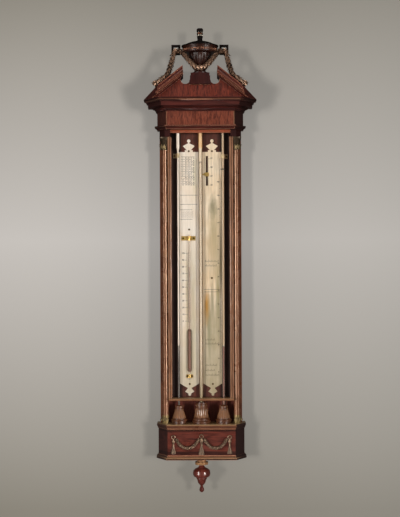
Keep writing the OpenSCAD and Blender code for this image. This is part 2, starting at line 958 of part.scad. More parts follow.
module barometer_mercury() {
    r = tube_r - 1.5;
    color(quicksilver) hung() turned(0, tube_y) polygon([
        [0, ledge_h + 3.4], [cup_r - 2.3, ledge_h + 3.4], [cup_r - 2.3, 120], [tube_r + 0.1, 120],
        [tube_r + 0.1, 107.9], [r, 107.9], [r, mercury_h - 1], [0, mercury_h + 1]
    ]);
}

module cistern_cup() {
    color("#c9a36a") hung() turned(0, tube_y) difference() {
        translate([0, ledge_h]) square([cup_r, 23.5]);
        translate([-1, ledge_h + 3.3]) square([cup_r - 1.2, 30]);
    }
}

// Semicircular bend between the two legs, of the given tube section
module bend() {
    translate([0, -tube_y, bend_h]) rotate([-90, 0, 0]) rotate_extrude(angle = 180)
        translate([tube_x, 0]) children();
}

module contra_tube() {
    wall = 1.3;
    color(glass) hung() {
        turned(-tube_x, tube_y) difference() {
            polygon([
                [0, bend_h], [leg_r, bend_h], [leg_r, head_h], [head_r, head_h + 9],
                [head_r, tube_top - 5], [head_r - 2.6, tube_top - 1], [0, tube_top]
            ]);
            polygon([
                [-1, bend_h - 1], [leg_r - wall, bend_h - 1], [leg_r - wall, head_h],
                [head_r - wall, head_h + 9], [head_r - wall, tube_top - 6],
                [head_r - 4, tube_top - 3], [-1, tube_top - 3]
            ]);
        }
        bend() difference() {
            circle(leg_r);
            circle(leg_r - wall);
        }
        turned(tube_x, tube_y) difference() {
            polygon([
                [0, bend_h], [leg_r, bend_h], [leg_r, 108], [chamber_r, 113], [chamber_r, 136],
                [oil_r, 142], [oil_r, tube_top - 3], [oil_r - 2, tube_top], [0, tube_top]
            ]);
            polygon([
                [-1, bend_h - 1], [leg_r - wall, bend_h - 1], [leg_r - wall, 109],
                [chamber_r - wall, 114], [chamber_r - wall, 135.4], [oil_r - wall, 141.4],
                [oil_r - wall, tube_top - 4], [-1, tube_top - 3]
            ]);
        }
    }
}

module contra_mercury() {
    r = leg_r - 1.4;
    color(quicksilver) hung() {
        turned(-tube_x, tube_y)
            polygon([[0, bend_h], [r, bend_h], [r, head_h], [r + 1.4, 904.6], [0, 905.4]]);
        bend() circle(r);
        turned(tube_x, tube_y) polygon([
            [0, bend_h], [r, bend_h], [r, 109.1], [chamber_r - 1.4, 114.1], [chamber_r - 1.4, 128],
            [0, 128]
        ]);
    }
}

module contra_spirit() {
    color(spirit) hung() turned(tube_x, tube_y) polygon([
        [0, 128.2], [chamber_r - 1.4, 128.2], [chamber_r - 1.4, 135.2], [oil_r - 1.4, 141.2],
        [oil_r - 1.4, 328], [0, 328]
    ]);
}

module thermometer_tube() {
    color(glass) hung() turned(-plate_x, thermo_y) difference() {
        polygon([
            [0, 228], [1.6, 228.6], [2.2, 230], [2.2, bulb_h0 - 2], [4.6, bulb_h0 + 2],
            [4.6, bulb_h1 - 4], [2.2, bulb_h1], [2.2, 654], [0, 655]
        ]);
        polygon([
            [-1, bulb_h0 + 0.6], [1.6, bulb_h0 + 0.6], [3.8, bulb_h0 + 3.4], [3.8, bulb_h1 - 5.4],
            [0.7, bulb_h1 - 1], [0.7, 650], [-1, 650]
        ]);
    }
}

module thermometer_spirit() {
    color(spirit) hung() turned(-plate_x, thermo_y) polygon([
        [0, bulb_h0 + 0.8], [1.5, bulb_h0 + 0.8], [3.7, bulb_h0 + 3.6], [3.7, bulb_h1 - 5.6],
        [0.6, bulb_h1 - 1.4], [0.6, 560], [0, 560]
    ]);
}

// Flat strap on the plate with a raised saddle round the thermometer
module thermometer_clip(x0, x1, z, h) {
    translate([0, 0, z - h / 2]) difference() {
        union() {
            block([x0, -plate_d - 1.2, 0], [x1, -plate_d, h]);
            block([-plate_x - 3.5, -thermo_y, 0], [-plate_x + 3.5, -plate_d, h]);
            translate([-plate_x, -thermo_y, 0]) cylinder(r = 3.5, h = h);
        }
        translate([-plate_x, -thermo_y, -1]) cylinder(r = 2.3, h = h + 2);
        for (p = screw_spots)
            translate([p.x, -plate_d - 2, p.z - z + h / 2]) rotate([-90, 0, 0])
                cylinder(r = 1.5, h = 4);
    }
}

module thermometer_clips() {
    color(brass) hung() {
        thermometer_clip(-56.8, -15.6, clip_h, 13);
        thermometer_clip(-plate_x - 10, -plate_x + 10, lower_clip_h, 10);
    }
}

// Slider with a pointed arm in front of the plate, a neck in the slot and a keeper behind
module pointer() {
    color(brass) hung() translate([slot_x, -plate_d, pointer_h]) {
        upright(0.1, 1.3) polygon([
            [-17, 0.4], [-8, 3.2], [-4.6, 5.6], [4.6, 5.6], [6, 2.4], [6, -3.4], [4.6, -5.6],
            [-4.6, -5.6], [-8, -2.6], [-17, -0.2]
        ]);
        upright(1.3, 3.4) circle(2.6);
        block([-2.7, -0.1, -3], [2.7, plate_t + 0.2, 3]);
        block([-5.6, plate_t + 0.15, -5], [5.6, plate_t + 1.65, 5]);
    }
}

// Hollow under a cover, with the passages that let it draw forward off its tube
module cover_hollow(r1, r2, h, tube_dx, foot_r, foot_h, neck_r) {
    translate([0, 0, ledge_h - 1]) cylinder(r1 = r1, r2 = r2, h = h - 8);
    block([tube_dx - foot_r, 0, ledge_h - 1], [tube_dx + foot_r, 60, ledge_h + foot_h]);
    block([tube_dx - neck_r, 0, ledge_h - 1], [tube_dx + neck_r, 60, ledge_h + h + 20]);
    block([-60, cover_y - back_t - 2, ledge_h - 1], [60, 80, ledge_h + h + 20]);
}

module side_cover_section() {
    h = side_cover_h;
    difference() {
        union() {
            square([22.4, 8]);
            translate([0, 8]) square([21, 5]);
            translate([20.6, 10.4]) circle(3);
            polygon([
                [0, 12], [19.6, 12], [18.4, 18], [15.6, 27], [13, 36], [11.6, 43], [11.2, h - 7],
                [0, h - 7]
            ]);
            square([11.8, h - 3.4]);
            intersection() {
                translate([0, h - 11]) circle(11.8);
                square([11.8, h]);
            }
        }
        translate([12.6, h - 9]) circle(1.2);
    }
}

module side_cover(s) {
    h = side_cover_h;
    color(bronze) hung() mirrored(s) translate([cover_x, -cover_y, 0.2]) difference() {
        translate([0, 0, ledge_h]) rotate_extrude() side_cover_section();
        cover_hollow(18, 9, h, tube_x - cover_x, chamber_r + 1.2, 41, oil_r + 1.4);
    }
}

module cover_left() {
    side_cover(-1);
}

module cover_right() {
    side_cover(1);
}

module mid_cover_section() {
    h = mid_cover_h;
    difference() {
        union() {
            square([26.6, 7]);
            translate([24, 5.6]) circle(3.8);
            square([24.4, 12]);
            translate([21.6, 13]) circle(3.2);
            polygon([
                [0, 12], [22.6, 12], [20.4, 19], [19, 28], [18.4, 40], [16.6, 47], [0, 47]
            ]);
            square([15.8, h - 6]);
            translate([0, h - 9]) square([17.6, 7]);
            translate([0, h - 2]) square([13, 2]);
        }
        translate([17.8, h - 5.4]) circle(0.9);
    }
}

module cover_middle() {
    h = mid_cover_h;
    color(bronze) hung() translate([0, -cover_y, 0.2]) difference() {
        translate([0, 0, ledge_h]) rotate_extrude() mid_cover_section();
        cover_hollow(20.5, 13, h, 0, cup_r + 1.2, 26, tube_r + 1.2);
    }
}

module index_ring() {
    color(dark_wood) hung() translate([tube_x, -tube_y, 845]) difference() {
        cylinder(r = 6.4, h = 3);
        translate([0, 0, -1]) cylinder(r = oil_r + 0.05, h = 5);
    }
}

backboard();
hanging_plate();
hanging_screws();
trunk_side_left();
trunk_side_right();
stile_left();
stile_right();
scale_board();
top_rail();
tube_shelf();
column_left();
column_right();
column_base_left();
column_base_right();
capital_left();
capital_right();
impost_blocks();
architrave();
frieze();
cornice();
tympanum();
pediment_back();
raking_cornice_left();
raking_cornice_right();
urn_plinth();
urn_body();
urn_lid();
urn_knob();
urn_handle_left();
urn_handle_right();
garland_left();
garland_right();
garland_front();
box_case();
box_ledge();
box_base_moulding();
box_bottom();
swag_left();
swag_right();
tassels();
pendant_collar();
pendant();
scale_plate_left();
scale_plate_right();
brass_screws();
tube_clips();
barometer_tube();
barometer_mercury();
cistern_cup();
contra_tube();
contra_mercury();
contra_spirit();
thermometer_tube();
thermometer_spirit();
thermometer_clips();
pointer();
cover_left();
cover_middle();
cover_right();
index_ring();
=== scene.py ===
import random
from math import cos, pi, radians, sin, tan

import bpy
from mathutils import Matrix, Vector


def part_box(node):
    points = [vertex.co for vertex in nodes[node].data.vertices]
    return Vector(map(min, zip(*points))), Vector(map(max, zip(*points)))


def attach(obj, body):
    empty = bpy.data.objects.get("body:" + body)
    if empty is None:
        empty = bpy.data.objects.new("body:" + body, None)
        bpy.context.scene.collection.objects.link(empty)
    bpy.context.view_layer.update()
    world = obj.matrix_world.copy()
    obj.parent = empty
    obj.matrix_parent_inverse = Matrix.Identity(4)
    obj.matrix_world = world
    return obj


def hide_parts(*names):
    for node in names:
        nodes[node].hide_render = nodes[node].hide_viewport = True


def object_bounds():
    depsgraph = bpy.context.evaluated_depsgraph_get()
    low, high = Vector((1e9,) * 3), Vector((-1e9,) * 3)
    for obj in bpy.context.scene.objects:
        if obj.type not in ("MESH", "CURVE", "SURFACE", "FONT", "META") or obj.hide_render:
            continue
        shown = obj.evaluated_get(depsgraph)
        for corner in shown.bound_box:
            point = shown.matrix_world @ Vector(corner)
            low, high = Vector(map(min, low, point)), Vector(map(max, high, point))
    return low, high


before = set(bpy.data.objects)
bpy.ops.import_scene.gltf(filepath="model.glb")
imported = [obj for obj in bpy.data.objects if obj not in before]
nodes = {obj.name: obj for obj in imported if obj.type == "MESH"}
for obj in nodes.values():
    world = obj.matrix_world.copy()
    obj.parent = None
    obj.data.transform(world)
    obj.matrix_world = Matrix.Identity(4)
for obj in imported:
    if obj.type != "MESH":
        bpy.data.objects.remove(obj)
cad_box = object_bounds()

# Lengths below are in millimetres, and heights are measured up from the underside of the case
MM = 0.001
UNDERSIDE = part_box("box_base_moulding")[0].z
TURN = 2 * pi
FRONT = Vector((0, -1, 0))
UP = Vector((0, 0, 1))
SIDES = (("left", -1), ("right", 1))


def at(x, y, h):
    """A point given in millimetres across, in depth and above the underside, in metres"""
    return Vector((x * MM, y * MM, UNDERSIDE + h * MM))


def extent(node):
    """A CAD node's lowest and highest corner in millimetres, heights above the underside"""
    low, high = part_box(node)
    lift = Vector((0, 0, UNDERSIDE))
    return (low - lift) / MM, (high - lift) / MM


def colour(code):
    """An sRGB hex colour as the linear values that a shader takes"""
    parts = [int(code[i:i + 2], 16) / 255 for i in (1, 3, 5)]
    linear = [c / 12.92 if c <= 0.04045 else ((c + 0.055) / 1.055) ** 2.4 for c in parts]
    return (*linear, 1)


def feed(tree, node, inputs):
    """Links or sets a node's inputs. A node given as a value stands for its first output in use,
    and text is a hex colour."""
    for socket, value in inputs.items():
        if isinstance(value, str):
            value = colour(value)
        if isinstance(value, bpy.types.Node):
            value = next(output for output in value.outputs if output.enabled)
        if isinstance(value, bpy.types.NodeSocket):
            tree.links.new(value, node.inputs[socket])
        else:
            node.inputs[socket].default_value = value


def add(tree, kind, inputs, **settings):
    """Adds a node with its settings and its links"""
    node = tree.nodes.new("ShaderNode" + kind)
    for name, value in settings.items():
        setattr(node, name, value)
    feed(tree, node, inputs)
    return node


def new_finish(name, **fixed):
    """A material, its tree, its shader with the fixed values, and the object's own coordinates"""
    material = bpy.data.materials.new(name)
    material.use_nodes = True
    tree = material.node_tree
    shader = tree.nodes["Principled BSDF"]
    feed(tree, shader, {key.replace("_", " ").title().replace("Ior", "IOR"): value
                        for key, value in fixed.items()})
    return material, tree, shader, add(tree, "TexCoord", {}).outputs["Object"]


def polished_mahogany(name, light, dark, grain="Z", tilt=0.0, figure_mm=22, figure=0.5,
                      gloss=0.3, lacquer=0.2, shine=0.5, amber="#ffffff", lines=(), tops=None,
                      corners=None, fillets=None, shaded_past=None):
    """Mahogany under shellac: fine straight fibres, a slow cloudy figure and short dark pores.
    The real fibres are finer than a pixel, so they are drawn 1.5 mm wide to show as grain. amber
    is the tint that old shellac gives to its shine. lines are level bands of painted shade and
    painted highlight, each with its height, half width, colour and strength. tops is the paler
    colour painted where a face looks up, painted light from above, and corners is the darker
    colour painted on the splayed corners and sides, painted shade that is deeper on the right,
    where the wood is also duller. fillets is the paler colour painted on faces that look straight
    ahead, such as the narrow flats between mouldings: a painted highlight. shaded_past is the
    distance from the middle past which the wood is painted near black, painted shade at the
    sides of a recess."""
    material, tree, shader, place = new_finish(
        name, coat_weight=lacquer, coat_roughness=0.18, specular_ior_level=shine,
        specular_tint=amber)
    along = {"X": 0, "Z": 2}[grain]
    patterns = []
    # Fibres, figure and pores: their size across and along the grain, their detail and their bend
    for across_mm, along_mm, detail, bend in (
            (1.5, 48, 4, 0.2), (figure_mm, figure_mm * 4, 3, 1.4), (0.7, 9, 2, 0.0)):
        size = [across_mm * MM] * 3
        size[along] = along_mm * MM
        laid = add(tree, "Mapping", {"Vector": place, "Rotation": (0, tilt, 0), "Scale": size},
                   vector_type="TEXTURE")
        patterns.append(add(tree, "TexNoise", {"Vector": laid, "Scale": 1.0, "Detail": detail,
                                               "Roughness": 0.6, "Distortion": bend}))
    fibres, flame, pores = patterns
    mixed = add(tree, "Mix", {0: figure, 2: fibres, 3: flame}, data_type="FLOAT")
    share = add(tree, "MapRange", {0: mixed, 1: 0.36, 2: 0.62})
    wood = add(tree, "Mix", {0: share, 6: dark, 7: light}, data_type="RGBA")
    holes = add(tree, "MapRange", {0: pores, 1: 0.62, 2: 0.78, 3: 0.0, 4: 0.5})
    wood = add(tree, "Mix", {0: holes, 6: wood, 7: "#1c0c08"}, data_type="RGBA")
    spot = add(tree, "SeparateXYZ", {0: place})
    # Each level band is painted light or shade: pale bands are painted highlight, dark bands
    # painted shade
    for height, half, tone, strength in lines:
        off = add(tree, "Math", {0: spot.outputs["Z"], 1: UNDERSIDE + height * MM},
                  operation="SUBTRACT")
        far = add(tree, "Math", {0: off}, operation="ABSOLUTE")
        band = add(tree, "MapRange", {0: far, 1: half * 0.6 * MM, 2: half * MM, 3: strength,
                                      4: 0.0})
        wood = add(tree, "Mix", {0: band, 6: wood, 7: tone}, data_type="RGBA")
    facing = add(tree, "SeparateXYZ", {0: add(tree, "TexCoord", {}).outputs["Normal"]})
    # Painted light: faces that look up are painted paler, as if lit from above
    if tops:
        upward = add(tree, "MapRange", {0: facing.outputs["Z"], 1: 0.5, 2: 0.85, 3: 0.0, 4: 0.8})
        wood = add(tree, "Mix", {0: upward, 6: wood, 7: tops}, data_type="RGBA")
    if corners:
        # A splayed face looks more than 31 degrees to the side, also where it leans up or down
        across = add(tree, "Math", {0: facing.outputs["X"]}, operation="ABSOLUTE")
        ahead = add(tree, "Math", {0: facing.outputs["Y"]}, operation="ABSOLUTE")
        sideways = add(tree, "Math", {0: ahead, 1: -0.6, 2: across}, operation="MULTIPLY_ADD")
        turned_away = add(tree, "MapRange", {0: sideways, 1: 0.04, 2: 0.12})
        # Painted shade: faces turned sideways are painted darker, and those looking right darker
        # still
        shaded = add(tree, "MapRange", {0: facing.outputs["X"], 1: -0.6, 2: 0.6, 3: 0.7, 4: 0.95})
        share = add(tree, "Math", {0: turned_away, 1: shaded}, operation="MULTIPLY")
        wood = add(tree, "Mix", {0: share, 6: wood, 7: corners}, data_type="RGBA")
        feed(tree, shader, {
            "Coat Weight": add(tree, "MapRange", {0: turned_away, 3: lacquer, 4: 0.0})})
    # Painted highlight: faces that look straight ahead are painted paler
    if fillets:
        ahead = add(tree, "MapRange", {0: facing.outputs["Y"], 1: -0.985, 2: -0.94, 3: 0.22,
                                       4: 0.0})
        wood = add(tree, "Mix", {0: ahead, 6: wood, 7: fillets}, data_type="RGBA")
    # Painted shade: past this distance from the middle the wood is painted near black
    if shaded_past:
        across = add(tree, "Math", {0: spot.outputs["X"]}, operation="ABSOLUTE")
        far_shade = add(tree, "MapRange", {0: across, 1: (shaded_past - 3) * MM,
                                      2: (shaded_past + 3) * MM, 3: 0.0, 4: 0.85})
        wood = add(tree, "Mix", {0: far_shade, 6: wood, 7: "#170b08"}, data_type="RGBA")
    clouds = add(tree, "TexNoise", {"Vector": place, "Scale": 1 / (38 * MM), "Detail": 3})
    rough = add(tree, "MapRange", {0: clouds, 1: 0.3, 2: 0.7, 3: gloss - 0.05, 4: gloss + 0.09})
    if corners:
        rough = add(tree, "Mix", {0: turned_away, 2: rough, 3: 0.85}, data_type="FLOAT")
    feed(tree, shader, {
        "Base Color": wood, "Roughness": rough,
        "Normal": add(tree, "Bump", {"Height": fibres, "Strength": 0.07, "Distance": 0.2 * MM})})
    return material


def worn_gilding(name, bright, dull, carved=True):
    """Leaf gold over brown bole, rubbed and dirty: metal on the crests, brown in the hollows"""
    material, tree, shader, place = new_finish(name)
    patches = add(tree, "TexNoise", {"Vector": place, "Scale": 1 / (5 * MM), "Detail": 5,
                                     "Roughness": 0.7})
    crest = add(tree, "Attribute", {}, attribute_name="raised").outputs["Fac"] if carved else 0.55
    wear = add(tree, "Mix", {0: 0.45, 2: crest, 3: patches}, data_type="FLOAT")
    gold = add(tree, "MapRange", {0: wear, 1: 0.36, 2: 0.68})
    grit = add(tree, "TexNoise", {"Vector": place, "Scale": 1 / (1.2 * MM), "Detail": 3})
    feed(tree, shader, {
        "Base Color": add(tree, "Mix", {0: gold, 6: dull, 7: bright}, data_type="RGBA"),
        "Metallic": add(tree, "MapRange", {0: gold, 3: 0.1, 4: 0.8}),
        "Roughness": add(tree, "MapRange", {0: patches, 1: 0.3, 2: 0.7, 3: 0.36, 4: 0.58}),
        "Normal": add(tree, "Bump", {"Height": grit, "Strength": 0.25, "Distance": 0.15 * MM})})
    return material


def dulled_brass(name, bright, dull, rough):
    """Lacquered brass gone dull: warm metal with brown patches where the lacquer has let go"""
    material, tree, shader, place = new_finish(name, metallic=1.0)
    patches = add(tree, "TexNoise", {"Vector": place, "Scale": 1 / (7 * MM), "Detail": 5,
                                     "Roughness": 0.65})
    share = add(tree, "MapRange", {0: patches, 1: 0.42, 2: 0.68})
    feed(tree, shader, {
        "Base Color": add(tree, "Mix", {0: share, 6: bright, 7: dull}, data_type="RGBA"),
        "Roughness": add(tree, "MapRange", {0: patches, 1: 0.3, 2: 0.7, 3: rough - 0.06,
                                            4: rough + 0.2})})
    return material


def bronzed_beech(name):
    """Turned wood under a glossy bronze-brown varnish, rubbed lighter in patches"""
    material, tree, shader, place = new_finish(name, coat_weight=0.5, coat_roughness=0.2)
    patches = add(tree, "TexNoise", {"Vector": place, "Scale": 1 / (9 * MM), "Detail": 5,
                                     "Roughness": 0.65})
    share = add(tree, "MapRange", {0: patches, 1: 0.35, 2: 0.66})
    crest = add(tree, "Attribute", {}, attribute_name="raised").outputs["Fac"]
    skin = add(tree, "Mix", {0: share, 6: "#482512", 7: "#6c4027"}, data_type="RGBA")
    # The crests of the carved reeds are painted paler: a painted highlight along each reed
    feed(tree, shader, {
        "Base Color": add(tree, "Mix", {0: add(tree, "MapRange", {0: crest, 3: 0.0, 4: 0.6}),
                                        6: skin, 7: "#b07f55"}, data_type="RGBA"),
        "Roughness": add(tree, "MapRange", {0: patches, 1: 0.3, 2: 0.7, 3: 0.36, 4: 0.5})})
    return material


def silvered_brass(name, pale, stain, foot, foot_height, streaked, spots):
    """Brass plate silvered by rubbing: a pale cream skin, tarnished yellow and brown in soft
    patches and, below about foot_height, darker and olive, partly tarnish and partly painted
    shade. streaked is the strength of its long scratches.
    spots are stains, each with x, height, half width, half height, colour and strength."""
    material, tree, shader, place = new_finish(name, metallic=0.1)
    slow = add(tree, "TexNoise", {"Vector": place, "Scale": 1 / (70 * MM), "Detail": 4,
                                  "Distortion": 0.4})
    streaky = add(tree, "Mapping", {"Vector": place, "Scale": (5 * MM, 5 * MM, 60 * MM)},
                  vector_type="TEXTURE")
    streaks = add(tree, "TexNoise", {"Vector": streaky, "Scale": 1.0, "Detail": 4})
    skin = add(tree, "Mix", {0: add(tree, "MapRange", {0: slow, 1: 0.35, 2: 0.7, 4: 0.8}),
                             6: pale, 7: stain}, data_type="RGBA")
    skin = add(tree, "Mix", {0: add(tree, "MapRange", {0: streaks, 1: 0.42, 2: 0.7, 4: streaked}),
                             6: skin, 7: "#857a5c"}, data_type="RGBA")
    height = add(tree, "SeparateXYZ", {0: place}).outputs["Z"]
    level = UNDERSIDE + foot_height * MM
    # Darker and olive towards the foot: partly tarnish, partly painted shade where less light
    # falls
    low = add(tree, "MapRange", {0: height, 1: level - 190 * MM, 2: level + 90 * MM, 3: 0.75,
                                 4: 0.0})
    uneven = add(tree, "MapRange", {0: slow, 1: 0.3, 2: 0.6, 3: 0.7})
    patchy = add(tree, "Math", {0: low, 1: uneven}, operation="MULTIPLY")
    skin = add(tree, "Mix", {0: patchy, 6: skin, 7: foot}, data_type="RGBA")
    for x, h, half_x, half_h, code, strength in spots:
        middle = at(x, 0, h)
        nearby = add(tree, "Mapping", {"Vector": place, "Location": (middle.x, 0, middle.z),
                                       "Scale": (half_x * MM, 1, half_h * MM)},
                     vector_type="TEXTURE")
        reach = add(tree, "VectorMath", {0: nearby}, operation="LENGTH")
        ragged = add(tree, "TexNoise", {"Vector": nearby, "Scale": 2.2, "Detail": 4})
        edge = add(tree, "Math", {0: reach, 1: ragged}, operation="ADD")
        share = add(tree, "MapRange", {0: edge, 1: 0.8, 2: 1.9, 3: strength, 4: 0.0})
        skin = add(tree, "Mix", {0: share, 6: skin, 7: code}, data_type="RGBA")
    dents = add(tree, "TexNoise", {"Vector": place, "Scale": 1 / (2.5 * MM), "Detail": 4})
    feed(tree, shader, {
        "Base Color": skin,
        "Roughness": add(tree, "MapRange", {0: slow, 1: 0.3, 2: 0.7, 3: 0.45, 4: 0.6}),
        "Normal": add(tree, "Bump", {"Height": dents, "Strength": 0.06, "Distance": 0.1 * MM})})
    return material


def drawn_glass(name, edge, films_and_sheen, film_from, head_from):
    """Clear drawn glass round a liquid: it shows what is inside, and its two edges look darker,
    because light is bent away there. Above film_from a pale lining of dried mercury and dust
    covers it, in the first colour of films left of the middle and in the second right of it;
    where these differ, the left is a painted highlight and the right painted shade. An old
    amber varnish covers it above head_from."""
    material, tree, shader, place = new_finish(name, roughness=0.32)
    turned = add(tree, "LayerWeight", {"Blend": 0.35}).outputs["Facing"]
    share = add(tree, "MapRange", {0: turned, 1: 0.08, 2: 0.28})
    tint = add(tree, "Mix", {0: share, 6: "#efe6d6", 7: edge}, data_type="RGBA")
    cover = add(tree, "MapRange", {0: turned, 1: 0.12, 2: 0.4, 3: 0.06, 4: 0.9})
    spot = add(tree, "SeparateXYZ", {0: place})
    # Where the two lining colours differ: painted highlight on the left and painted shade on the
    # right
    rightward = add(tree, "MapRange", {0: spot.outputs["X"], 1: -3 * MM, 2: 3 * MM})
    film_and_sheen = add(tree, "Mix", {0: rightward, 6: films_and_sheen[0], 7: films_and_sheen[1]}, data_type="RGBA")
    for line, skin, side in ((film_from, film_and_sheen, edge), (head_from, "#f0c48e", "#a06c38")):
        start = UNDERSIDE + line * MM
        above = add(tree, "MapRange", {0: spot.outputs["Z"], 1: start - 4 * MM, 2: start + 4 * MM})
        skin = add(tree, "Mix", {0: share, 6: skin, 7: side}, data_type="RGBA")
        tint = add(tree, "Mix", {0: above, 6: tint, 7: skin}, data_type="RGBA")
        cover = add(tree, "Mix", {0: above, 2: cover, 3: 0.95}, data_type="FLOAT")
    feed(tree, shader, {"Base Color": tint, "Alpha": cover})
    return material


def mottled(name, base, mottle, size_mm=6, share=0.3, foot=None, foot_height=300, **fixed):
    """One colour with a faint mottle, for liquids and small parts whose own grain is too fine to
    see. foot is a duller colour that it fades to below foot_height."""
    material, tree, shader, place = new_finish(name, **fixed)
    patches = add(tree, "TexNoise", {"Vector": place, "Scale": 1 / (size_mm * MM), "Detail": 4})
    faint = add(tree, "MapRange", {0: patches, 1: 0.4, 2: 0.75, 4: share})
    skin = add(tree, "Mix", {0: faint, 6: base, 7: mottle}, data_type="RGBA")
    if foot:
        height = add(tree, "SeparateXYZ", {0: place}).outputs["Z"]
        end = UNDERSIDE + foot_height * MM
        low = add(tree, "MapRange", {0: height, 1: end - 120 * MM, 2: end, 3: 1.0, 4: 0.0})
        skin = add(tree, "Mix", {0: low, 6: skin, 7: foot}, data_type="RGBA")
    feed(tree, shader, {"Base Color": skin})
    return material


RAKE = radians(38)
# A height above the whole case, for the linings and amber heads that a tube doesn't have
ABOVE_ALL = 5000
cornice_end, cornice_top = extent("cornice")[1].x, extent("cornice")[1].z
ledge_low, ledge_top = (corner.z for corner in extent("box_ledge"))
base_low, base_top = (corner.z for corner in extent("box_base_moulding"))
case_front = extent("box_case")[0].y

SIDE_SHADE = "#2b0e0b"
SHADE_LINE = "#1c0a07"
LIT_LINE = "#bf8a68"
TOP_LIGHT = "#ab8d66"
DULL = {"lacquer": 0.0, "shine": 0.25}
# The hood's mahogany is painted darker than the trunk's: painted shade, as less light reaches the
# top of the case
HOOD = {"light": "#54201a", "dark": "#2a0d09", "grain": "X", "gloss": 0.45, **DULL}
VENEER = {"figure_mm": 6, "figure": 0.55, "lacquer": 0.0, "shine": 0.3}
trunk_mahogany = polished_mahogany("trunk_mahogany", "#9a5c3a", "#5a2a1a")
stile_mahogany = polished_mahogany("stile_mahogany", "#a97c5f", "#6f4833", figure=0.3)
column_mahogany = polished_mahogany("column_mahogany", "#805038", "#52301f", gloss=0.26,
                                    lacquer=0.0, shine=1.0, amber="#ffd9bb")
shelf_mahogany = polished_mahogany("shelf_mahogany", "#976a4a", "#663c29", grain="X", tops=TOP_LIGHT)
# Ledge bands: the pale band at its top and the faint one near its foot are painted highlight; the
# dark band below its top and the one at the foot of the base are painted shade
ledge_mahogany = polished_mahogany(
    "ledge_mahogany", "#784b35", "#432118", grain="X", corners=SIDE_SHADE, tops=TOP_LIGHT,
    lines=[(ledge_top, 3, "#b8946a", 0.5), (ledge_top - 8, 3, SHADE_LINE, 0.3),
           (ledge_low + 3.5, 2.4, LIT_LINE, 0.12), (base_low, 4.5, SHADE_LINE, 0.8)])
# Panel bands: painted shade under the ledge and above the base moulding
panel_mahogany = polished_mahogany(
    "panel_mahogany", "#6e3226", "#3a140e", grain="X", figure_mm=16, figure=0.6, corners=SIDE_SHADE,
    lines=[(ledge_low, 5.5, SHADE_LINE, 0.85), (base_top + 7, 6, SHADE_LINE, 0.7)])
# The pale band below the cornice's top is a painted highlight on its top fillet
hood_mahogany = polished_mahogany("hood_mahogany", corners=SIDE_SHADE,
                                  lines=[(cornice_top - 6.5, 2.4, LIT_LINE, 0.4)], **HOOD)
# The rakes' front-facing flats are painted paler, a painted highlight
left_rake_mahogany, right_rake_mahogany = (
    polished_mahogany(name, tilt=tilt, fillets="#9a5f45", **HOOD)
    for name, tilt in (("left_rake_mahogany", -RAKE), ("right_rake_mahogany", RAKE)))
frieze_veneer = polished_mahogany("frieze_veneer", "#874531", "#3a140d", gloss=0.4,
                                  corners=SIDE_SHADE, **VENEER)
rail_veneer = polished_mahogany("rail_veneer", "#b4593a", "#7a301c", grain="X", figure_mm=15)
pediment_veneer = polished_mahogany("pediment_veneer", "#7c3424", "#2e0d09", gloss=0.42, **VENEER)
dark_mahogany = polished_mahogany("dark_mahogany", "#3c1512", "#1f0a09", gloss=0.42, **DULL)
recess_mahogany = polished_mahogany("recess_mahogany", "#6b3526", "#381a12", gloss=0.5,
                                    lacquer=0.0, shaded_past=57)
urn_mahogany = polished_mahogany("urn_mahogany", "#3a1b10", "#1c0b07", gloss=0.36, lacquer=0.0,
                                 shine=0.35)
stained_black = polished_mahogany("stained_black", "#120805", "#080302", gloss=0.7, lacquer=0.0,
                                  shine=0.12)
drop_mahogany = polished_mahogany("drop_mahogany", "#72342a", "#431813", lacquer=0.5)
back_board = polished_mahogany("back_board", "#783a2e", "#48201a", figure=0.2, gloss=0.6, **DULL)
# Pale arris colours: painted highlight along rounded edges, partly wear
rake_lit_arris = polished_mahogany("rake_lit_arris", "#d69c76", "#a86c50", gloss=0.55, lacquer=0.0)
rubbed_lit_arris = polished_mahogany("rubbed_lit_arris", "#d09a76", "#a0674c", gloss=0.55, lacquer=0.0,
                                 corners=SIDE_SHADE)
satinwood_line = polished_mahogany("satinwood_line", "#a5795b", "#80523a", figure=0.2)
boxwood_cup = polished_mahogany("boxwood_cup", "#c9a36a", "#9c7440", gloss=0.4)
rim_bronze = worn_gilding("rim_bronze", "#8a5e48", "#3a2017")
carved_gilding = worn_gilding("carved_gilding", "#93805a", "#2b1f15")
garland_gilding = worn_gilding("garland_gilding", "#b08e76", "#35251d")
swag_gilding = worn_gilding("swag_gilding", "#9a806a", "#261812")
plain_gilding = worn_gilding("plain_gilding", "#a8905e", "#48381f", carved=False)
capital_bronze = worn_gilding("capital_bronze", "#57452f", "#1f1710", carved=False)
dull_brass = dulled_brass("dull_brass", "#b4914d", "#5f4622", 0.3)
dark_brass = dulled_brass("dark_brass", "#7d6233", "#33240f", 0.36)
bright_brass = mottled("bright_brass", "#ecc878", "#b08a48", share=0.5, metallic=0.6,
                       roughness=0.35)
collar_brass = mottled("collar_brass", "#a87c50", "#5c3524", share=0.8, metallic=0.3,
                       roughness=0.55)
strap_brass = mottled("strap_brass", "#c8b48c", "#7c6a4c", share=0.6, metallic=0.3,
                      roughness=0.4)
bronzed_covers = bronzed_beech("bronzed_covers")
left_plate_silver = silvered_brass(
    "left_plate_silver", pale="#fff6ea", stain="#f4e0c6", foot="#b0a486", foot_height=330,
    streaked=0.14,
    spots=[(-34, 560, 26, 60, "#dccda6", 0.3), (-41, 470, 4, 120, "#b5a67c", 0.5),
           (-22, 440, 7, 150, "#a8a07c", 0.5), (-30, 300, 20, 90, "#cfc39c", 0.4),
           (-16, 830, 8, 60, "#d8cf9c", 0.4)])
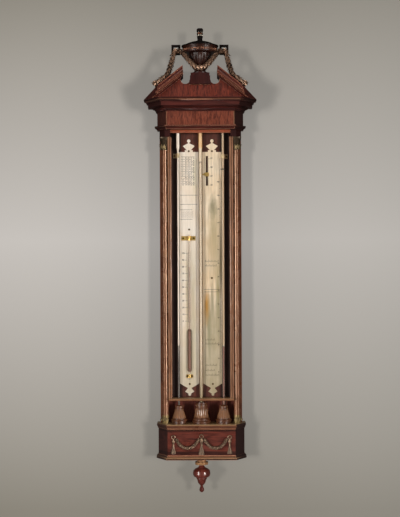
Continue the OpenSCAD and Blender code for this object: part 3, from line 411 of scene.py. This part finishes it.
right_plate_silver = silvered_brass(
    "right_plate_silver", pale="#ffedd2", stain="#edd0a8", foot="#968b6b", foot_height=400,
    streaked=0.32,
    spots=[(36, 735, 11, 30, "#6f6c50", 0.7), (40, 650, 16, 100, "#a59b76", 0.6),
           (59, 575, 4, 90, "#5f5630", 0.85), (24, 380, 6, 90, "#8a8a6a", 0.6),
           (17, 442, 8, 46, "#c48c34", 0.95), (33, 470, 4, 50, "#6f6238", 0.6),
           (50, 480, 7, 110, "#857c48", 0.65), (34, 600, 24, 70, "#c9ad80", 0.4),
           (36, 400, 22, 60, "#8f8a68", 0.45), (34, 310, 26, 80, "#9c9474", 0.4)])
clear_glass = drawn_glass("clear_glass", "#7a4c2c", ("#efe6d6", "#efe6d6"),
                          film_from=ABOVE_ALL, head_from=ABOVE_ALL)
# The contra tube's lining: a white left half and a darker right half, painted highlight and
# painted shade
dusty_sheen_glass = drawn_glass("dusty_sheen_glass", "#33261a", ("#f6e8d8", "#bfa482"), film_from=328,
                          head_from=ABOVE_ALL)
amber_headed_glass = drawn_glass("amber_headed_glass", "#7c5c3a", ("#ecd8ba", "#ecd8ba"),
                                 film_from=868, head_from=908)
# Both mercury colours are pale and nearly matt: a painted reflection in place of the mercury's
# mirror shine. Each fades to a duller colour towards the bottom
still_mercury = mottled("still_mercury", "#fff6ea", "#d8cdc0", share=0.4, foot="#5f5b5c",
                        foot_height=400, metallic=0.1, roughness=0.4)
column_mercury = mottled("column_mercury", "#f0dfc4", "#d9c09c", size_mm=30, share=0.5,
                         foot="#a8936a", foot_height=300, metallic=0.2, roughness=0.42)
tinted_spirit = mottled("tinted_spirit", "#853818", "#5c220f", roughness=0.5)
# Near-white colour of the knob's beads: a painted highlight for the lamps' glints
glint_pale_beads = mottled("glint_pale_beads", "#fff2de", "#d8c8ac", roughness=0.4)
dark_horn = mottled("dark_horn", "#1c1410", "#3a2a1e", roughness=0.35)
graver_black = mottled("graver_black", "#3a342c", "#5a5244", roughness=0.6)

FINISHES = [
    (back_board, "backboard pediment_back box_bottom"), (dull_brass, "hanging_plate"),
    (dark_brass, "hanging_screws brass_screws"),
    (trunk_mahogany, "trunk_side_left trunk_side_right"),
    (stile_mahogany, "stile_left stile_right"), (recess_mahogany, "scale_board"),
    (rail_veneer, "top_rail"), (shelf_mahogany, "tube_shelf"),
    (column_mahogany, "column_left column_right"),
    (plain_gilding, "column_base_left column_base_right"),
    (capital_bronze, "capital_left capital_right"), (dark_mahogany, "impost_blocks urn_plinth"),
    (hood_mahogany, "architrave cornice"), (frieze_veneer, "frieze"),
    (pediment_veneer, "tympanum"), (left_rake_mahogany, "raking_cornice_left"),
    (right_rake_mahogany, "raking_cornice_right"), (urn_mahogany, "urn_body"),
    (stained_black, "urn_lid urn_knob urn_handle_left urn_handle_right"),
    (garland_gilding, "garland_left garland_right garland_front"), (panel_mahogany, "box_case"),
    (ledge_mahogany, "box_ledge box_base_moulding"),
    (swag_gilding, "swag_left swag_right tassels"), (collar_brass, "pendant_collar"),
    (drop_mahogany, "pendant"), (left_plate_silver, "scale_plate_left"),
    (right_plate_silver, "scale_plate_right"), (strap_brass, "tube_clips"),
    (amber_headed_glass, "barometer_tube"), (column_mercury, "barometer_mercury"),
    (boxwood_cup, "cistern_cup"), (dusty_sheen_glass, "contra_tube"),
    (still_mercury, "contra_mercury"), (tinted_spirit, "contra_spirit thermometer_spirit"),
    (clear_glass, "thermometer_tube"), (bright_brass, "thermometer_clips pointer"),
    (bronzed_covers, "cover_left cover_middle cover_right"), (dark_horn, "index_ring"),
]
for finish, node_names in FINISHES:
    for node_name in node_names.split():
        nodes[node_name].data.materials.clear()
        nodes[node_name].data.materials.append(finish)

# Arrises that hands and dusters have rubbed, rounded off by the width given in millimetres and
# painted paler, partly as wear and partly as painted highlight
RUBBED = {"cornice": 1.6, "architrave": 1.5, "raking_cornice_left": 1.9,
          "raking_cornice_right": 1.9, "box_ledge": 1.3, "box_base_moulding": 1.3,
          "tube_shelf": 0.9, "top_rail": 0.7, "stile_left": 0.8, "stile_right": 0.8,
          "frieze": 0.5, "tympanum": 0.6}
for node_name, width_mm in RUBBED.items():
    node = nodes[node_name]
    # The rounding gets a pale colour: painted highlight along the edges, partly wear
    node.data.materials.append(rake_lit_arris if "raking" in node_name else rubbed_lit_arris)
    node.modifiers.new("joined", "WELD").merge_threshold = 0.02 * MM
    worn = node.modifiers.new("rubbed", "BEVEL")
    worn.width = width_mm * MM
    worn.segments = 2
    worn.limit_method = "ANGLE"
    worn.angle_limit = radians(40)
    worn.material = 1


class Shape:
    """The points and faces of one piece, with how far each point stands out, from 0 to 1"""

    def __init__(self):
        self.points = []
        self.faces = []
        self.raised = []

    def skin(self, rows, raised):
        """Joins rings of points into a closed skin, each ring turning left as seen from the one
        before it"""
        start, count = len(self.points), len(rows[0])
        for row, marks in zip(rows, raised):
            self.points.extend(row)
            self.raised.extend(marks)
        last = start + (len(rows) - 1) * count
        for base in range(start, last, count):
            for k in range(count):
                after = (k + 1) % count
                self.faces.append((base + k, base + after, base + count + after, base + count + k))
        self.faces.append(tuple(start + k for k in reversed(range(count))))
        self.faces.append(tuple(last + k for k in range(count)))

    def bar(self, low, high):
        """A small block between two corners in millimetres"""
        corners = [(low[0], low[1]), (high[0], low[1]), (high[0], high[1]), (low[0], high[1])]
        self.skin([[at(x, y, h) for x, y in corners] for h in (low[2], high[2])], [[0.6] * 4] * 2)

    def turned(self, x, y, profile, sides=64, cut=None, deepest=1.0):
        """A turned form on an upright axis. cut(angle, height) is the depth carved away there."""
        rows, raised = [], []
        for radius, height in profile:
            row, marks = [], []
            for k in range(sides):
                angle = TURN * k / sides
                depth = cut(angle, height) if cut else 0
                r = radius - depth
                row.append(at(x + r * cos(angle), y + r * sin(angle), height))
                marks.append(1 - depth / deepest)
            rows.append(row)
            raised.append(marks)
        self.skin(rows, raised)

    def ball(self, centre, radius):
        """A bead or berry"""
        sides, rings = 10, 6
        rows = []
        for i in range(rings + 1):
            lean = pi * min(max(i / rings, 0.04), 0.96)
            rows.append([centre + Vector((
                radius * sin(lean) * cos(TURN * k / sides),
                radius * sin(lean) * sin(TURN * k / sides),
                -radius * cos(lean))) for k in range(sides)])
        self.skin(rows, [[0.9] * sides] * (rings + 1))

    def stem(self, path, radius, raised=0.3):
        """A round rope along a path"""
        sides = 10
        rows = []
        for i, point in enumerate(path):
            along = (path[min(i + 1, len(path) - 1)] - path[max(i - 1, 0)]).normalized()
            side = along.cross(UP if abs(along.z) < 0.9 else FRONT).normalized()
            out = side.cross(along)
            rows.append([point + radius * (out * cos(TURN * k / sides)
                                           + side * -sin(TURN * k / sides))
                         for k in range(sides)])
        self.skin(rows, [[raised] * sides] * len(rows))

    def blade(self, spine, outward, halves, thick):
        """A leaf along a spine: a raised rib, thin edges and a hollow back, closed all round"""
        # Round the leaf: shares of its thickness and half width, and how far each point stands out
        section = [(1.0, 0.0, 1.0), (0.55, 0.5, 0.55), (0.12, 1.0, 0.8), (-0.5, 0.0, 0.0),
                   (0.12, -1.0, 0.8), (0.55, -0.5, 0.55)]
        rows = []
        for i, point in enumerate(spine):
            along = (spine[min(i + 1, len(spine) - 1)] - spine[max(i - 1, 0)]).normalized()
            out = (outward - along * outward.dot(along)).normalized()
            side = along.cross(out)
            rows.append([point + out * (thick * up) + side * (halves[i] * across)
                         for up, across, _ in section])
        self.skin(rows, [[mark for _, _, mark in section]] * len(rows))

    def leaf(self, foot, along, outward, length, width, lift, thick=0.5 * MM):
        """A pointed laurel leaf whose tip lifts off its stem"""
        along = along.normalized()
        outward = (outward - along * outward.dot(along)).normalized()
        shares = [0, 0.2, 0.45, 0.7, 0.88, 1]
        spine = [foot + along * (length * t) + outward * (lift * t ** 1.7) for t in shares]
        halves = [max(width / 2 * sin(pi * (0.1 + 0.9 * t) ** 0.85), 0.05 * MM) for t in shares]
        self.blade(spine, outward, halves, thick)


def make(name, shape, finish, body="case", stands_for=()):
    """Turns a shape into a piece that rides on a body"""
    mesh = bpy.data.meshes.new(name)
    mesh.from_pydata([tuple(p) for p in shape.points], [], shape.faces)
    mesh.validate()
    mesh.polygons.foreach_set("use_smooth", [True] * len(mesh.polygons))
    mesh.set_sharp_from_angle(angle=radians(40))
    mark = mesh.attributes.new("raised", "FLOAT", "POINT")
    mark.data.foreach_set("value", shape.raised)
    mesh.materials.append(finish)
    piece = bpy.data.objects.new(name, mesh)
    bpy.context.scene.collection.objects.link(piece)
    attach(piece, body)
    if stands_for:
        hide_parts(*stands_for)


def away_at(angle):
    """The level direction at an angle round an upright axis"""
    return Vector((cos(angle), sin(angle), 0))


def smooth(route, steps):
    """A smooth curve through given points"""
    curve = []
    for i in range(len(route) - 1):
        a, b = route[max(i - 1, 0)], route[i]
        c, d = route[i + 1], route[min(i + 2, len(route) - 1)]
        for k in range(steps):
            t = k / steps
            curve.append(0.5 * (2 * b + (c - a) * t + (2 * a - 5 * b + 4 * c - d) * t ** 2
                                + (3 * b - a - 3 * c + d) * t ** 3))
    curve.append(route[-1])
    return curve


def spaced(path, gap):
    """Points and directions at even steps along a path"""
    found, walked, due = [], 0.0, 0.0
    for a, b in zip(path, path[1:]):
        length = (b - a).length
        while due <= walked + length:
            found.append((a.lerp(b, (due - walked) / length), (b - a).normalized()))
            due += gap
        walked += length
    return found


def laurel(shape, path, core, length, width, gap, rng, spread=0.38):
    """Leaves in staggered rings of five round a stem, with berries between them"""
    ring = 5
    shape.stem(path, core)
    for number, (point, along) in enumerate(spaced(path, gap)):
        side = along.cross(FRONT).normalized()
        out = side.cross(along)
        for k in range(ring):
            angle = TURN * (k + 0.5 * (number % 2)) / ring + rng.uniform(-0.12, 0.12)
            away = out * cos(angle) + side * sin(angle)
            size = rng.uniform(0.88, 1.08)
            shape.leaf(point + away * core * 0.7, along + away * spread, away, length * size,
                       width * size, 0.12 * length)
        if number % 2:
            angle = rng.uniform(-0.9, 0.9)
            away = out * cos(angle) + side * sin(angle)
            shape.ball(point + away * (core + 1.9 * MM), 1.5 * MM)


def rosette(shape, centre, facing, radius):
    """Two rings of petals round a button"""
    side = facing.cross(UP).normalized()
    top = side.cross(facing)
    for count, reach, lift, width in ((8, 1.0, 0.15, 0.72), (6, 0.66, 0.42, 0.5)):
        for k in range(count):
            angle = TURN * (k + 0.5 * (count == 6)) / count
            away = side * cos(angle) + top * sin(angle)
            shape.leaf(centre + facing * radius * lift * 0.4, away, facing, radius * reach,
                       radius * width, radius * lift, thick=0.9 * MM)
    shape.ball(centre + facing * radius * 0.4, radius * 0.26)


def rake_top(x):
    """Height of a raking cornice's top at distance x from the middle"""
    return cornice_top + (cornice_end - x) * tan(RAKE)


# The garlands follow the ropes of the CAD model, one from each handle and one across the bowl
KNOT = (71, -66, 1186)
GARLAND_FALL = [KNOT, (76.5, -67.6, 1176), (80.5, -70, 1161), (84, -77, 1146), (88, -85, 1131)]
GARLAND_REST = [(x, y, rake_top(x) + lift) for x, y, lift in (
    (94, -91, 10.6), (104, -94, 10), (115, -95, 10), (125, -95, 10))]
GARLAND_FRONT = [KNOT, (63, -71, 1185), (53.5, -80, 1180), (41.5, -86, 1167), (29.5, -88, 1152),
                 (15.5, -86.5, 1140), (0, -85.5, 1136)]


def hang_garlands():
    """Laurel ropes, each with a rosette at its knot and one where it ends"""
    rng = random.Random(7)
    end_x = 129.4
    for name, side in SIDES:
        shape = Shape()
        path = smooth([at(side * x, y, h) for x, y, h in GARLAND_FALL + GARLAND_REST], 6)
        laurel(shape, path, 4.2 * MM, 15 * MM, 9 * MM, 7.4 * MM, rng)
        rosette(shape, at(side * end_x, -96, rake_top(end_x) + 12), FRONT, 9.4 * MM)
        rosette(shape, at(side * KNOT[0], KNOT[1] - 3, KNOT[2]), FRONT, 9 * MM)
        make("garland_" + name + "_laurel", shape, garland_gilding,
             stands_for=["garland_" + name])
    shape = Shape()
    for side in (-1, 1):
        path = smooth([at(side * x, y, h) for x, y, h in GARLAND_FRONT], 6)
        laurel(shape, path, 4 * MM, 14 * MM, 8.4 * MM, 7 * MM, rng)
    rosette(shape, at(0, -89, 1136), FRONT, 6.5 * MM)
    make("garland_front_laurel", shape, garland_gilding,
         stands_for=["garland_front"])


def hang_swags():
    """Husk ropes on the box, each falling from its two rings to the middle"""
    rng = random.Random(11)
    middle_x, reach, lowest, rise = 40.8, 33, 35.2, 27.4
    for name, side in SIDES:
        shape = Shape()
        for way in (-1, 1):
            path = [at(side * (middle_x + way * reach * u), case_front - 3.4,
                       lowest + rise * u ** 2.4) for u in [1 - k / 14 for k in range(15)]]
            laurel(shape, path, 2.5 * MM, 8.6 * MM, 4.8 * MM, 4.6 * MM, rng, spread=0.4)
        make("swag_" + name + "_husks", shape, swag_gilding,
             stands_for=["swag_" + name])


def hang_tassels():
    """Reeded bell drops applied to the box, each under its ring"""
    ring_r, around, reeds = 5, 28, 7
    half_turn = [pi + pi * k / 42 for k in range(43)]
    # Shares of the radius and of the height, from the flared foot to the knot under the ring
    outline = [(0.03, 0), (0.96, 0.01), (1.0, 0.05), (0.9, 0.16), (0.62, 0.34), (0.4, 0.46),
               (0.36, 0.62), (0.42, 0.72), (0.66, 0.78), (0.7, 0.84), (0.5, 0.9), (0.46, 0.97),
               (0.04, 1)]
    shape = Shape()
    for x, top, low, radius in ((-81.6, 61.4, 17.4, 7), (81.6, 61.4, 17.4, 7),
                                (0, 63.6, 14.6, 8.6)):
        angles = [TURN * k / around for k in range(around + 1)]
        shape.stem([at(x + ring_r * cos(a), case_front - 2, top + ring_r * (1 + sin(a)))
                    for a in angles], 1.5 * MM, raised=0.8)
        rows, raised = [], []
        for share, rise in outline:
            r = share * radius
            cuts = [0.12 * r * abs(cos(reeds * a)) if rise < 0.6 else 0 for a in half_turn]
            rows.append([at(x + (r - cut) * cos(a), case_front + (r - cut) * sin(a),
                            low + rise * (top - low)) for a, cut in zip(half_turn, cuts)])
            raised.append([0.9 - 5 * cut / max(r, 0.5) for cut in cuts])
        shape.skin(rows, raised)
    make("tassels_reeded", shape, swag_gilding, stands_for=["tassels"])


def turn_urn():
    """The urn's foot, its bowl carved in sixteen lobes, and a rim with a band of small reeds"""
    low, high = extent("urn_body")
    y = (low.y + high.y) / 2
    rim_r, foot, rim = high.x, low.z, high.z
    bowl_low, bowl_high = foot + 11.2, rim - 21
    lobes, deepest = 16, 2.5

    def lobed(angle, height):
        if not bowl_low <= height <= bowl_high:
            return 0
        share = (height - bowl_low) / (bowl_high - bowl_low)
        between_lobes = 1 - abs(sin(lobes / 2 * angle))
        return deepest * between_lobes * sin(pi * (0.08 + 0.86 * share))

    def bowl_radius(t):
        return 19.5 + 13 * sin(pi / 2 * min(1, 1.25 * t)) + 0.8 * t

    shape = Shape()
    bowl = [(bowl_radius(k / 16), bowl_low + (bowl_high - bowl_low) * k / 16) for k in range(17)]
    foot_profile = [(0.5, 0), (18.6, 0), (18.6, 2.4), (17.6, 3.2), (16.6, 5), (16.2, 7), (16.6, 9),
                    (18.6, 10.6)]
    rim_profile = [(12, 20.6), (2.6, 19.4), (0.6, 18.6), (0, 17), (0, 15.6), (1.2, 15), (1.2, 7),
                   (0.2, 6.4), (0.2, 5.6), (2, 5), (2, 3.4), (0, 2.8), (0, 0.6), (0.6, 0),
                   (rim_r - 0.5, 0)]
    profile = ([(r, foot + rise) for r, rise in foot_profile] + bowl
               + [(rim_r - inset, rim - drop) for inset, drop in rim_profile])
    shape.turned(0, y, profile, sides=192, cut=lobed, deepest=deepest)
    make("urn_body_carved", shape, urn_mahogany, stands_for=["urn_body"])
    reeds = Shape()
    for k in range(60):
        away = away_at(TURN * k / 60)
        spine = [at(0, y, rim - drop) + away * ((rim_r - 1.2) * MM) for drop in (14.6, 13, 9, 7.4)]
        reeds.blade(spine, away, [0.3 * MM, 1.7 * MM, 1.7 * MM, 0.3 * MM], 1.1 * MM)
    make("urn_rim_reeds", reeds, rim_bronze)


def bead_the_knob():
    """Two rings of beads round the knob, painted pale as a painted highlight where the lamps glint
    on it, and a bronze band between them
    """
    low, high = extent("urn_knob")
    y = (low.y + high.y) / 2
    beads, band = Shape(), Shape()
    for ring_r, drop in ((7.4, 9.4), (7.9, 20.5)):
        for k in range(8):
            beads.ball(at(0, y, high.z - drop) + away_at(TURN * (k + 0.5) / 8) * ring_r * MM,
                       1.7 * MM)
    band.turned(0, y, [(r, high.z - drop) for r, drop in (
        (8.2, 15.8), (9.3, 15.4), (9.3, 13.6), (8.2, 13.2))])
    make("urn_knob_beads", beads, glint_pale_beads)
    make("urn_knob_band", band, rim_bronze)


def leaf_ring(shape, x, y, count, line, width, thick, turned_by):
    """Upright leaves round an axis. line gives the radius and height of their ribs from foot to
    tip, and each leaf is as wide as width at its middle."""
    for k in range(count):
        away = away_at(TURN * (k + turned_by) / count)
        spine = [at(x, y, h) + away * r * MM for r, h in line]
        shares = [i / (len(line) - 1) for i in range(len(line))]
        halves = [max(width / 2 * sin(pi * (0.22 + 0.78 * t)), 0.1) * MM for t in shares]
        shape.blade(spine, away, halves, thick * MM)


def carve_column_ends():
    """Leaves on the capitals' bells, and a ring of short round leaves on each base"""
    # Radius of the leaves' ribs, and height above the capital's foot or below the base's top
    outer_line = [(9.6, 1), (10.2, 5), (10.9, 9), (12.6, 12)]
    inner_line = [(10, 5), (10.8, 10), (11.6, 14), (13.4, 16.6)]
    base_line = [(12.8, -15.4), (12.2, -12), (10.8, -8), (10.4, -5.6)]
    for name, _ in SIDES:
        low, high = extent("capital_" + name)
        x, y = (low.x + high.x) / 2, (low.y + high.y) / 2
        capital, base = Shape(), Shape()
        for line, turned_by in ((outer_line, 0.5), (inner_line, 0.0)):
            leaf_ring(capital, x, y, 9, [(r, low.z + h) for r, h in line], 5.6, 0.9, turned_by)
        top = extent("column_base_" + name)[1].z
        leaf_ring(base, x, y, 12, [(r, top + h) for r, h in base_line], 5.4, 1.0, 0.5)
        make("capital_" + name + "_leaves", capital, carved_gilding)
        make("column_base_" + name + "_leaves", base, carved_gilding)


def dress_covers():
    """Fine reeds on the covers' bodies, a row of dark marks round their feet as painted shade
    between dentils, and beads round the top of each. The backs stay plain, where the covers are
    open for the tubes."""
    open_back = radians(62)
    # Radius and height of the reeds, how many they are, the foot's radius, the height from and to
    # of its dark dentil marks, and the radius and height of the crown of beads
    side_kind = ([(19.5, 15.5), (18.3, 19), (15.7, 27), (13.1, 36), (11.7, 42.5)], 22, 22.4,
                 (1.8, 6.2), 10.6, 51.5)
    middle_kind = ([(22.3, 17.6), (20.5, 20), (19.1, 28), (18.5, 39), (17.4, 44)], 26, 26.6,
                   (1.2, 4.6), 16.6, 53.5)

    def shown(count):
        """Angles of evenly spaced things that stand clear of the open back"""
        angles = [TURN * (k + 0.5) / count for k in range(count)]
        return [a for a in angles if abs((a - pi / 2 + pi) % TURN - pi) > open_back]

    for name, kind in (("left", side_kind), ("middle", middle_kind), ("right", side_kind)):
        body_line, count, foot_r, band, crown_r, crown_h = kind
        node, body = "cover_" + name, name + "_cover"
        low, high = extent(node)
        x, base = (low.x + high.x) / 2, low.z
        y = low.y + (high.x - low.x) / 2
        carved, dark = Shape(), Shape()
        for angle in shown(count):
            away = away_at(angle)
            spine = [at(x, y, base + h) + away * (r - 0.35) * MM for r, h in body_line]
            halves = [0.4 * TURN * r / count * MM for r, _ in body_line]
            halves[0] *= 0.4
            halves[-1] *= 0.4
            carved.blade(spine, away, halves, 0.8 * MM)
        for angle in shown(14):
            carved.ball(at(x, y, base + crown_h - 1.6) + away_at(angle) * crown_r * MM, 1.5 * MM)
        # Dark marks round the foot: thin black pieces that stand in for the shade between dentils,
        # painted shade
        for angle in shown(count + 6):
            away = away_at(angle)
            spine = [at(x, y, base + h) + away * (foot_r - 0.25) * MM for h in band]
            dark.blade(spine, away, [1.35 * MM, 1.35 * MM], 0.5 * MM)
        make(node + "_reeds", carved, bronzed_covers, body=body)
        make(node + "_dentils", dark, stained_black, body=body)


def inlay_strings():
    """Pale wood lines let into the corners between the flat front and the splayed corners"""
    low, high = extent("frieze")
    corner_x = 97.9
    shape = Shape()
    for x in (-corner_x, corner_x):
        shape.bar((x - 0.7, low.y - 0.12, low.z + 0.6), (x + 0.7, low.y + 0.5, high.z - 0.4))
    make("frieze_strings", shape, satinwood_line)


def engrave_plates():
    """Rules, ticks and plain numbers cut into the plates and filled black"""
    face = extent("scale_plate_left")[0].y
    deep, proud = face + 0.02, face - 0.07
    left, right = Shape(), Shape()

    def rule(shape, x0, x1, h, thick):
        shape.bar((x0, proud, h - thick / 2), (x1, deep, h + thick / 2))

    def post(shape, x, h0, h1, thick):
        shape.bar((x - thick / 2, proud, h0), (x + thick / 2, deep, h1))

    def number(shape, text, x, h, size):
        curve = bpy.data.curves.new("numeral", "FONT")
        curve.body, curve.size, curve.align_x, curve.align_y = text, size * MM, "CENTER", "CENTER"
        curve.offset = 0.14 * MM
        holder = bpy.data.objects.new("numeral", curve)
        bpy.context.scene.collection.objects.link(holder)
        bpy.context.view_layer.update()
        flat = bpy.data.meshes.new_from_object(holder.evaluated_get(
            bpy.context.evaluated_depsgraph_get()))
        start = len(shape.points)
        middle = at(x, proud, h)
        shape.points.extend(middle + Vector((v.co.x, 0, v.co.y)) for v in flat.vertices)
        shape.raised.extend([0.6] * len(flat.vertices))
        shape.faces.extend(tuple(start + i for i in p.vertices) for p in flat.polygons)
        bpy.data.objects.remove(holder)
        bpy.data.curves.remove(curve)
        bpy.data.meshes.remove(flat)

    # Left plate: a ruled table of numbers, a smaller one below it, and the thermometer's degrees
    for k in range(12):
        h = 884 - 7.2 * k
        rule(left, -57, -17 - 9 * (k % 3 == 1), h, 0.9)
        for x, value in ((-52, k + 1), (-43, 28 - k), (-35, 104 + 3 * k), (-27, 12 + k),
                         (-20, 56 - k)):
            number(left, str(value), x, h - 3.6, 4.4)
    for x, h in ((-9, 771), (-9, 744), (-24, 728), (-24, 700)):
        rule(left, -60, x, h, 0.9)
    for k in range(12):
        post(left, -56 + 3 * k, 704, 724, 0.4)
    zero, degree = 400, 2
    for tens in range(11):
        rule(left, -47, -37, zero + 10 * degree * tens, 0.8)
        number(left, str(10 * tens), -52, zero + 10 * degree * tens, 6.2)
    for k in range(51):
        rule(left, -42, -37, zero + 2 * degree * k, 0.4)
    post(left, -37, 396, 604, 0.6)
    post(left, -31.2, 396, 604, 0.4)
    post(left, -13, 240, 880, 0.4)
    # Right plate: old inches beside the pointer's slot, and a fine scale down the outer edge
    old_inch, slot_foot = 26.15, 800
    for tenth in range(31):
        rule(right, 22.6, 25.4 if tenth % 10 else 27.8, slot_foot + old_inch * tenth / 10, 0.4)
    for k in range(4):
        number(right, str(26 + k), 32.4, slot_foot + 1 + old_inch * k, 6.4)
    for k in range(141):
        rule(right, 57.6 if k % 5 else 55.6, 61.4, 250 + 4 * k, 0.5)
    for tens in range(15):
        number(right, str(10 * tens), 51.5, 250 + 40 * tens, 5)
    for h in (486, 493):
        rule(right, 9, 58, h, 0.9)
    # Rows of short and tall strokes, where the plate has its small writing
    for row, h in enumerate((574, 561, 343, 331, 268, 253, 239)):
        for k in range(13 - 2 * (row % 3)):
            post(right, 14 + 3.1 * k, h, h + (6 if k % 3 == row % 3 else 3.5), 0.9)
    for x, thick in ((57.5, 0.6), (12.5, 0.4)):
        post(right, x, 246, 880, thick)
    make("left_plate_engraving", left, graver_black)
    make("right_plate_engraving", right, graver_black)


hang_garlands()
hang_swags()
hang_tassels()
turn_urn()
bead_the_knob()
carve_column_ends()
dress_covers()
inlay_strings()
engrave_plates()


def set_the_wall():
    """A pale plaster wall behind the object, its colour painted with a pool of light: brightest at
    mid height and a little darker to the right. Its own glow keeps the notches of the pediment
    pale. Only the camera sees it, so the room also lights the back of the object."""
    brightest_z, half = -0.37, 4.0
    material, tree, shader, place = new_finish("pale_wall", roughness=0.9)
    spot = add(tree, "SeparateXYZ", {0: place})
    off = add(tree, "Math", {0: spot.outputs["Z"], 1: brightest_z}, operation="SUBTRACT")
    distance = add(tree, "Math", {0: off}, operation="ABSOLUTE")
    # Painted pool of light: paler at mid height, darker above, below and to the right
    dim = add(tree, "MapRange", {0: distance, 1: 0.0, 2: 0.8})
    plaster = add(tree, "Mix", {0: dim, 6: "#a8a5a2", 7: "#767269"}, data_type="RGBA")
    rightward = add(tree, "MapRange", {0: spot.outputs["X"], 1: -0.6, 2: 0.6, 3: 0.0, 4: 0.3})
    plaster = add(tree, "Mix", {0: rightward, 6: plaster, 7: "#86847f"}, data_type="RGBA")
    seen = add(tree, "LightPath", {}).outputs["Is Camera Ray"]
    glow = add(tree, "Math", {0: seen, 1: 0.76}, operation="MULTIPLY")
    shaded = add(tree, "Mix", {0: 0.4, 6: plaster, 7: "#000000"}, data_type="RGBA")
    feed(tree, shader, {"Base Color": shaded, "Emission Color": plaster,
                        "Emission Strength": glow})
    unseen = add(tree, "Math", {0: 1.0, 1: seen}, operation="SUBTRACT")
    behind = add(tree, "Math", {0: add(tree, "NewGeometry", {}).outputs["Backfacing"],
                                1: unseen}, operation="MAXIMUM")
    mixed = add(tree, "MixShader", {0: behind, 1: shader, 2: add(tree, "BsdfTransparent", {})})
    feed(tree, tree.nodes["Material Output"], {"Surface": mixed})
    y = cad_box[1].y + 1 * MM
    mesh = bpy.data.meshes.new("wall")
    mesh.from_pydata([(-half, y, -half), (half, y, -half), (half, y, half), (-half, y, half)],
                     [], [(0, 1, 2, 3)])
    mesh.materials.append(material)
    wall = bpy.data.objects.new("wall", mesh)
    bpy.context.scene.collection.objects.link(wall)


def light_it():
    """Two soft lamps whose beams cross in front of the object, each on the half away from it, so
    the columns shine on their inner sides and the splayed corners stay dark. The room is even and
    looks dim in reflections, so that the polish stays deep."""
    middle = (cad_box[0] + cad_box[1]) / 2
    aside, ahead, height, past_middle, beam = 1.45, 1.75, -0.4, 0.52, radians(22)
    for name, side, power in (("left_softbox", -1, 4.0), ("right_softbox", 1, 4.3)):
        place = Vector((aside * side, -ahead, height))
        target = Vector((-past_middle * side, 0, middle.z))
        lamp = bpy.data.lights.new(name, "AREA")
        lamp.shape = "RECTANGLE"
        lamp.size, lamp.size_y = 0.4, 1.9
        lamp.energy = power
        lamp.spread = beam
        lamp.color = colour("#fffaf4")[:3]
        holder = bpy.data.objects.new(name, lamp)
        holder.location = place
        holder.rotation_euler = (target - place).to_track_quat("-Z", "Y").to_euler()
        bpy.context.scene.collection.objects.link(holder)
    world = bpy.data.worlds.new("studio")
    world.use_nodes = True
    tree = world.node_tree
    path = add(tree, "LightPath", {})
    seen = add(tree, "Math", {0: path.outputs["Is Camera Ray"],
                              1: path.outputs["Is Transmission Ray"]}, operation="MAXIMUM")
    room = add(tree, "Mix", {0: path.outputs["Is Glossy Ray"], 6: "#a09d98", 7: "#45423e"},
               data_type="RGBA")
    room = add(tree, "Mix", {0: seen, 6: room, 7: "#c9c5be"}, data_type="RGBA")
    feed(tree, tree.nodes["Background"], {"Color": room, "Strength": 1.0})
    bpy.context.scene.world = world
    bpy.context.scene.view_settings.view_transform = "Standard"


def set_the_camera():
    """The photograph is 400 by 517 pixels, 2.9 mm a pixel in the plane of the case front, taken
    from 3.2 m in front of it. The object's axis stands 0.8 px right of the middle of the picture,
    and the picture leans by a quarter of a degree."""
    pixel_mm, tall_px, axis_offset_px = 2.9, 517, 0.8
    distance, camera_height_mm, lean = 3.2, 584.4, radians(0.24)
    data = bpy.data.cameras.new("camera")
    data.sensor_width = 36
    data.lens = data.sensor_width * distance / (tall_px * pixel_mm * MM)
    camera = bpy.data.objects.new("camera", data)
    camera.location = (-axis_offset_px * pixel_mm * MM, case_front * MM - distance,
                       UNDERSIDE + camera_height_mm * MM)
    camera.rotation_euler = (pi / 2, lean, 0)
    bpy.context.scene.collection.objects.link(camera)
    bpy.context.scene.camera = camera


set_the_wall()
light_it()
set_the_camera()
